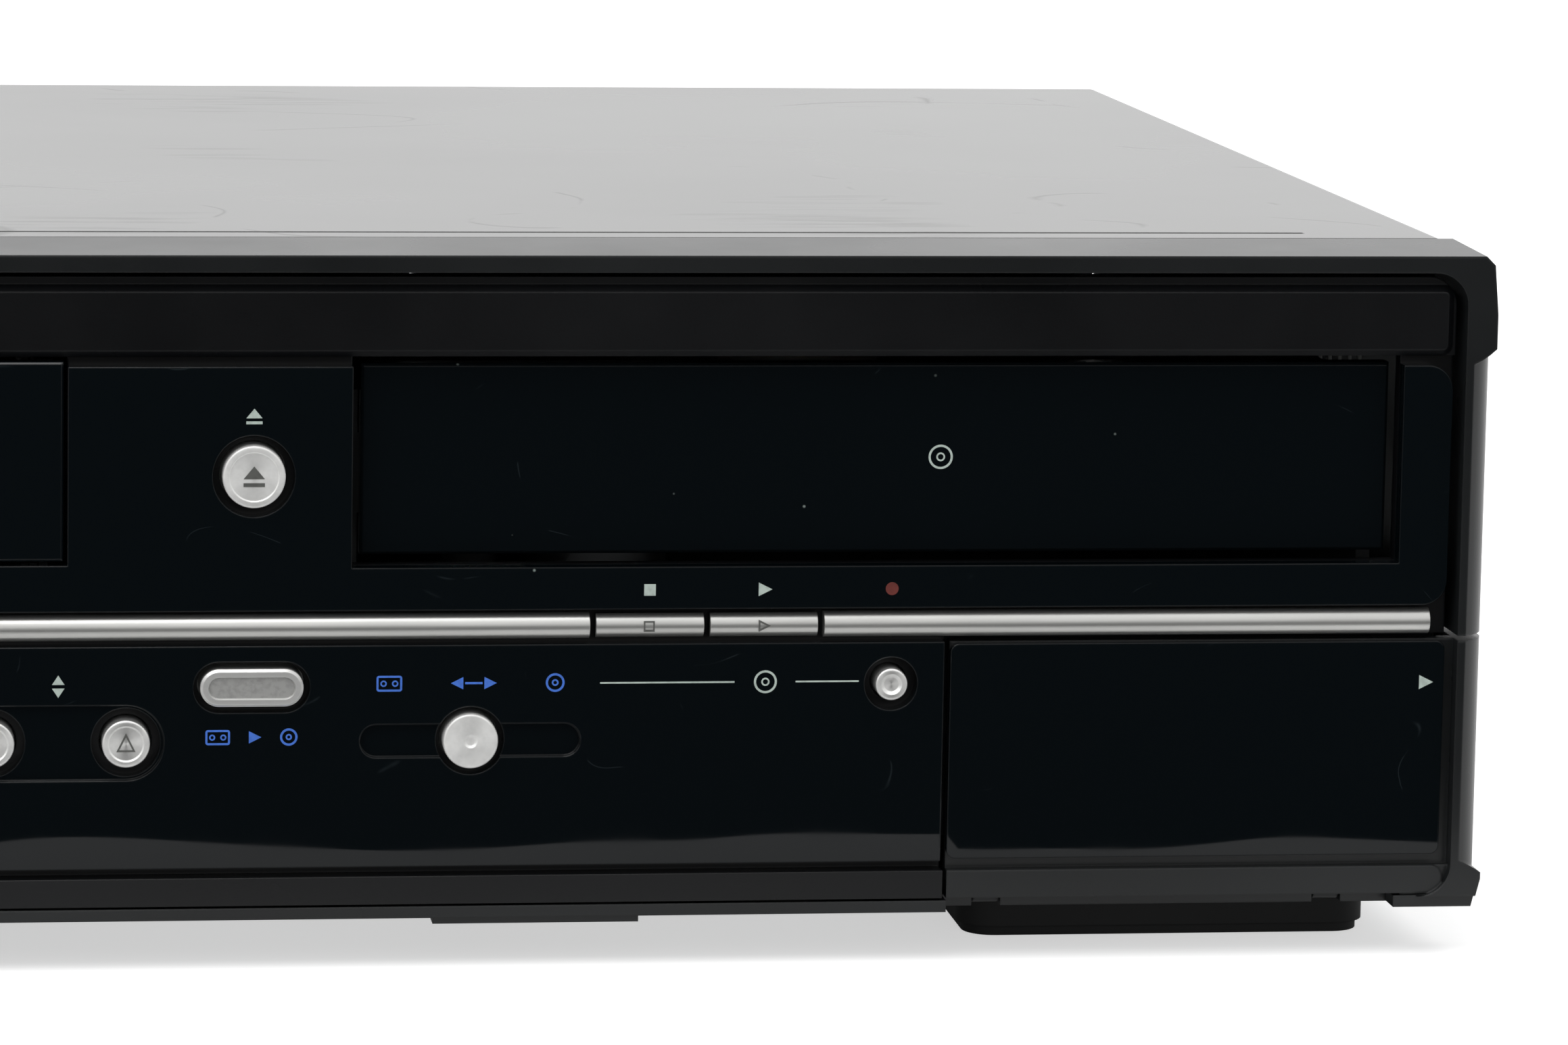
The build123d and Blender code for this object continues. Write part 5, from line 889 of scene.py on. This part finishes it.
def socket_ring(place, turn):
    bpy.ops.object.select_all(action="DESELECT")
    bpy.ops.mesh.primitive_circle_add(vertices=32, radius=RING_RADIUS * MM, fill_type="NGON")
    piece = bpy.context.object
    bpy.ops.object.mode_set(mode="EDIT")
    bpy.ops.mesh.select_all(action="SELECT")
    bpy.ops.mesh.inset(thickness=RING_WIDTH * MM, depth=0)
    bpy.ops.mesh.delete(type="ONLY_FACE")
    bpy.ops.mesh.select_all(action="SELECT")
    bpy.ops.mesh.extrude_region_move(TRANSFORM_OT_translate={"value": (0, 0, RING_HEIGHT * MM)})
    mesh = bmesh.from_edit_mesh(piece.data)
    for edge in mesh.edges:
        edge.select = all(v.co.z > RING_HEIGHT * 0.8 * MM for v in edge.verts) and not all(
            f.normal.z > 0.9 for f in edge.link_faces)
    bmesh.update_edit_mesh(piece.data)
    bpy.ops.mesh.bevel(offset=RING_ROUND * MM, segments=2, affect="EDGES")
    bpy.ops.mesh.select_all(action="SELECT")
    bpy.ops.mesh.normals_make_consistent(inside=False)
    bpy.ops.object.mode_set(mode="OBJECT")
    piece.location, piece.rotation_euler = place, turn
    settle(piece)
    return piece


back_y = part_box("rca_jacks")[1].y - REAR_SINK * MM
for number, (tone, finish) in enumerate(ring_finishes.items()):
    rear_x = (REAR_FIRST_X + REAR_STEP * number) * MM
    front_place = ((FRONT_FIRST_X + FRONT_STEP * number) * MM, FRONT + FRONT_DEPTH * MM,
                   FRONT_ROW * MM)
    rings = [socket_ring((rear_x, back_y, z * MM), (-math.pi / 2, 0, 0)) for z in REAR_ROWS]
    rings.append(socket_ring(front_place, (math.pi / 2, 0, 0)))
    piece = join_pieces(f"socket_rings_{tone}", rings, finish)
    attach(piece, "chassis")
    print(piece.name, "faces", len(piece.data.polygons))

# %% [markdown]
# ## Studio
# The recorder stands on a pale table, with bright light behind it and a dark room behind the
# camera. That is why the lid looks pale and the gloss looks black. A band along the foot of the
# gloss is grey, because it mirrors the table up to the table's front edge. The floor keeps the
# soft shadow and reaches far out, so only mirrored rays are shown that edge: past it, in front of
# the recorder, the floor shows them a dark glow in place of the room, a painted reflection. The
# band on the lower gloss panel is taller than on the flap's, so where that panel mirrors the
# floor the edge is moved further out, which paints the taller band. The floor also glows a little
# for mirrored rays, a painted brightening of the band.

# %% Floor
TABLE_EDGE, EDGE_WAVE, WAVE_SIZE, CLOUD_SIZE = 0.054, 0.03, 55.556, 166.67
PLATE_END, LOWER_BAND_EDGE_SHIFT = 0.1567, 0.009
AHEAD_REACH, AHEAD_SLOPE = 0.25, 0.9
OPEN_LIFT, MIRRORED_LIFT, ROOM_LIGHT = 0.5, 0.06, 0.03


def past_the_edge(tree, place):
    """One where mirrored rays have passed the table's front edge, zero elsewhere."""
    apart = add_node(tree, "SeparateXYZ", None, {0: place}).outputs
    wave = add_node(tree, "TexNoise", {"Scale": per_metre(WAVE_SIZE), "Detail": 1},
                    {"Vector": place})
    wavy = add_node(tree, "Math", {"operation": "MULTIPLY_ADD", 1: EDGE_WAVE},
                    {0: wave.outputs["Fac"], 2: apart["Y"]}).outputs[0]
    # Where x is below PLATE_END the edge is moved further out by the shift: a painted reflection
    # band, taller on the lower panel.
    under_plate = add_node(tree, "Math", {"operation": "LESS_THAN", 1: PLATE_END},
                           {0: apart["X"]}).outputs[0]
    depth = add_node(tree, "Math", {"operation": "MULTIPLY_ADD", 1: LOWER_BAND_EDGE_SHIFT},
                     {0: under_plate, 2: wavy}).outputs[0]
    beyond = add_node(tree, "Math", {"operation": "LESS_THAN", 1: FRONT - TABLE_EDGE},
                      {0: depth}).outputs[0]
    aside = add_node(tree, "Math", {"operation": "ABSOLUTE"}, {0: apart["X"]}).outputs[0]
    aside = add_node(tree, "Math", {"operation": "MULTIPLY_ADD", 1: AHEAD_SLOPE},
                     {0: apart["Y"], 2: aside}).outputs[0]
    ahead = add_node(tree, "Math", {"operation": "LESS_THAN", 1: AHEAD_REACH},
                     {0: aside}).outputs[0]
    return add_node(tree, "Math", {"operation": "MULTIPLY"}, {0: beyond, 1: ahead}).outputs[0]


def table_finish(name):
    material = bpy.data.materials.new(name)
    material.use_nodes = True
    tree = material.node_tree
    tree.nodes.clear()
    place = add_node(tree, "TexCoord").outputs["Object"]
    rays = add_node(tree, "LightPath").outputs
    beyond = past_the_edge(tree, place)
    mirrored = add_node(tree, "Math", {"operation": "MULTIPLY"},
                        {0: beyond, 1: rays["Is Glossy Ray"]}).outputs[0]
    cloud = add_node(tree, "TexNoise", {"Scale": per_metre(CLOUD_SIZE), "Detail": 2},
                     {"Vector": place})
    tones = add_node(tree, "ValToRGB", {"stops": [(0.2, grey(0.79)), (0.8, grey(0.82))]},
                     {"Fac": cloud.outputs["Fac"]})
    table = add_node(tree, "BsdfDiffuse", None, {"Color": tones.outputs[0]})
    # The floor glows for camera rays to look evenly white, and a little for mirrored rays:
    # painted light in the band on the gloss.
    open_view = add_node(tree, "Math", {"operation": "MULTIPLY_ADD", 1: OPEN_LIFT,
                                        2: MIRRORED_LIFT},
                         {0: rays["Is Camera Ray"]}).outputs[0]
    lift = add_node(tree, "Emission", None, {"Strength": open_view})
    seen = add_node(tree, "AddShader", None, {0: table.outputs[0], 1: lift.outputs[0]})
    looked_at = add_node(tree, "Math", {"operation": "SUBTRACT", 0: 1.0},
                         {1: rays["Is Diffuse Ray"]}).outputs[0]
    direct = add_node(tree, "MixShader", None, {0: looked_at, 1: table.outputs[0],
                                                2: seen.outputs[0]})
    # A dark glow that mirrored rays see past the edge: a painted reflection of the dark room.
    room = add_node(tree, "Emission", {"Color": grey(ROOM_LIGHT), "Strength": 1.0})
    final = add_node(tree, "MixShader", None, {0: mirrored, 1: direct.outputs[0],
                                               2: room.outputs[0]})
    add_node(tree, "OutputMaterial", None, {"Surface": final.outputs[0]})
    return material


bpy.ops.object.select_all(action="DESELECT")
bpy.ops.mesh.primitive_plane_add(size=12)
floor = bpy.context.object
floor.name = "pale_floor"
floor.data.materials.append(table_finish("pale_table"))
floor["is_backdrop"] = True
print("floor", floor.name, "table ends", TABLE_EDGE, "m in front")

# %% World and lamps
PLAIN_LIGHT, ROOM_DARK, WALL_BRIGHT = 0.62, 0.07, 0.93
scene = bpy.context.scene
world = bpy.data.worlds.new("white_studio")
scene.world = world
world.use_nodes = True
tree = world.node_tree
tree.nodes.clear()
way = add_node(tree, "TexCoord").outputs["Generated"]
parts = add_node(tree, "SeparateXYZ", None, {0: way}).outputs
rays = add_node(tree, "LightPath").outputs
wall = add_node(tree, "MapRange", {"From Min": -0.25, "From Max": 0.2, "To Min": ROOM_DARK,
                                   "To Max": WALL_BRIGHT}, {"Value": parts["Y"]}).outputs[0]
roof = add_node(tree, "MapRange", {"From Min": 0.0, "From Max": 0.4, "To Min": 0.3,
                                   "To Max": 1.0}, {"Value": parts["Z"]}).outputs[0]
mirrored = add_node(tree, "Math", {"operation": "MAXIMUM"}, {0: wall, 1: roof}).outputs[0]
lit = add_node(tree, "Mix", {"data_type": "FLOAT", 2: PLAIN_LIGHT},
               {0: rays["Is Glossy Ray"], 3: mirrored}).outputs[0]
open_view = add_node(tree, "Math", {"operation": "MAXIMUM"},
                     {0: rays["Is Camera Ray"], 1: rays["Is Transmission Ray"]}).outputs[0]
strength = add_node(tree, "Mix", {"data_type": "FLOAT", 3: 1.0},
                    {0: open_view, 2: lit}).outputs[0]
sky = add_node(tree, "Background", {"Color": (1, 1, 1, 1)}, {"Strength": strength})
add_node(tree, "OutputWorld", None, {"Surface": sky.outputs[0]})


def soft_box(name, place, target, size, power):
    data = bpy.data.lights.new(name, "AREA")
    data.shape, data.size, data.energy = "DISK", size, power
    lamp = bpy.data.objects.new(name, data)
    scene.collection.objects.link(lamp)
    lamp.location = place
    lamp.rotation_euler = (Vector(target) - Vector(place)).to_track_quat("-Z", "Y").to_euler()


MIDDLE = (0, 0, 0.05)
soft_box("soft_box_above", (-0.5, -0.7, 1.7), MIDDLE, 1.5, 16)
soft_box("soft_box_behind", (0.7, 1.1, 1.5), MIDDLE, 1.2, 8)

# %% [markdown]
# ## Camera
# The photograph is a crop from the right-hand side of a wider picture, taken a little from
# above. Part of that crop is a lens shift here, and the rest is a small turn of the camera.

# %% Camera
PHOTO_WIDTH, SENSOR = 2319, 36.0
FOCAL_PIXELS, SHIFT = 8566.57, 0.15
STAND = (0.607, -910.439, 187.983)
YAW, PITCH, ROLL = 0.1088, 0.1193, 0.0133
data = bpy.data.cameras.new("camera")
camera = bpy.data.objects.new("camera", data)
scene.collection.objects.link(camera)
scene.camera = camera
data.sensor_width = SENSOR
data.lens = FOCAL_PIXELS / PHOTO_WIDTH * SENSOR
data.shift_x, data.shift_y = SHIFT, -SHIFT
data.clip_start, data.clip_end = 0.01, 50
ahead = Vector((math.sin(YAW) * math.cos(PITCH), math.cos(YAW) * math.cos(PITCH),
                -math.sin(PITCH)))
right = Vector((math.cos(YAW), -math.sin(YAW), 0))
up = right.cross(ahead)
right, up = (right * math.cos(ROLL) + up * math.sin(ROLL),
             up * math.cos(ROLL) - right * math.sin(ROLL))
axes = Matrix((right, up, -ahead)).transposed().to_4x4()
axes.translation = Vector(STAND) * MM
camera.matrix_world = axes
scene.view_settings.view_transform = "Standard"
print("lens", round(data.lens, 1), "mm")

# %% Sizes, then finish
low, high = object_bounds()
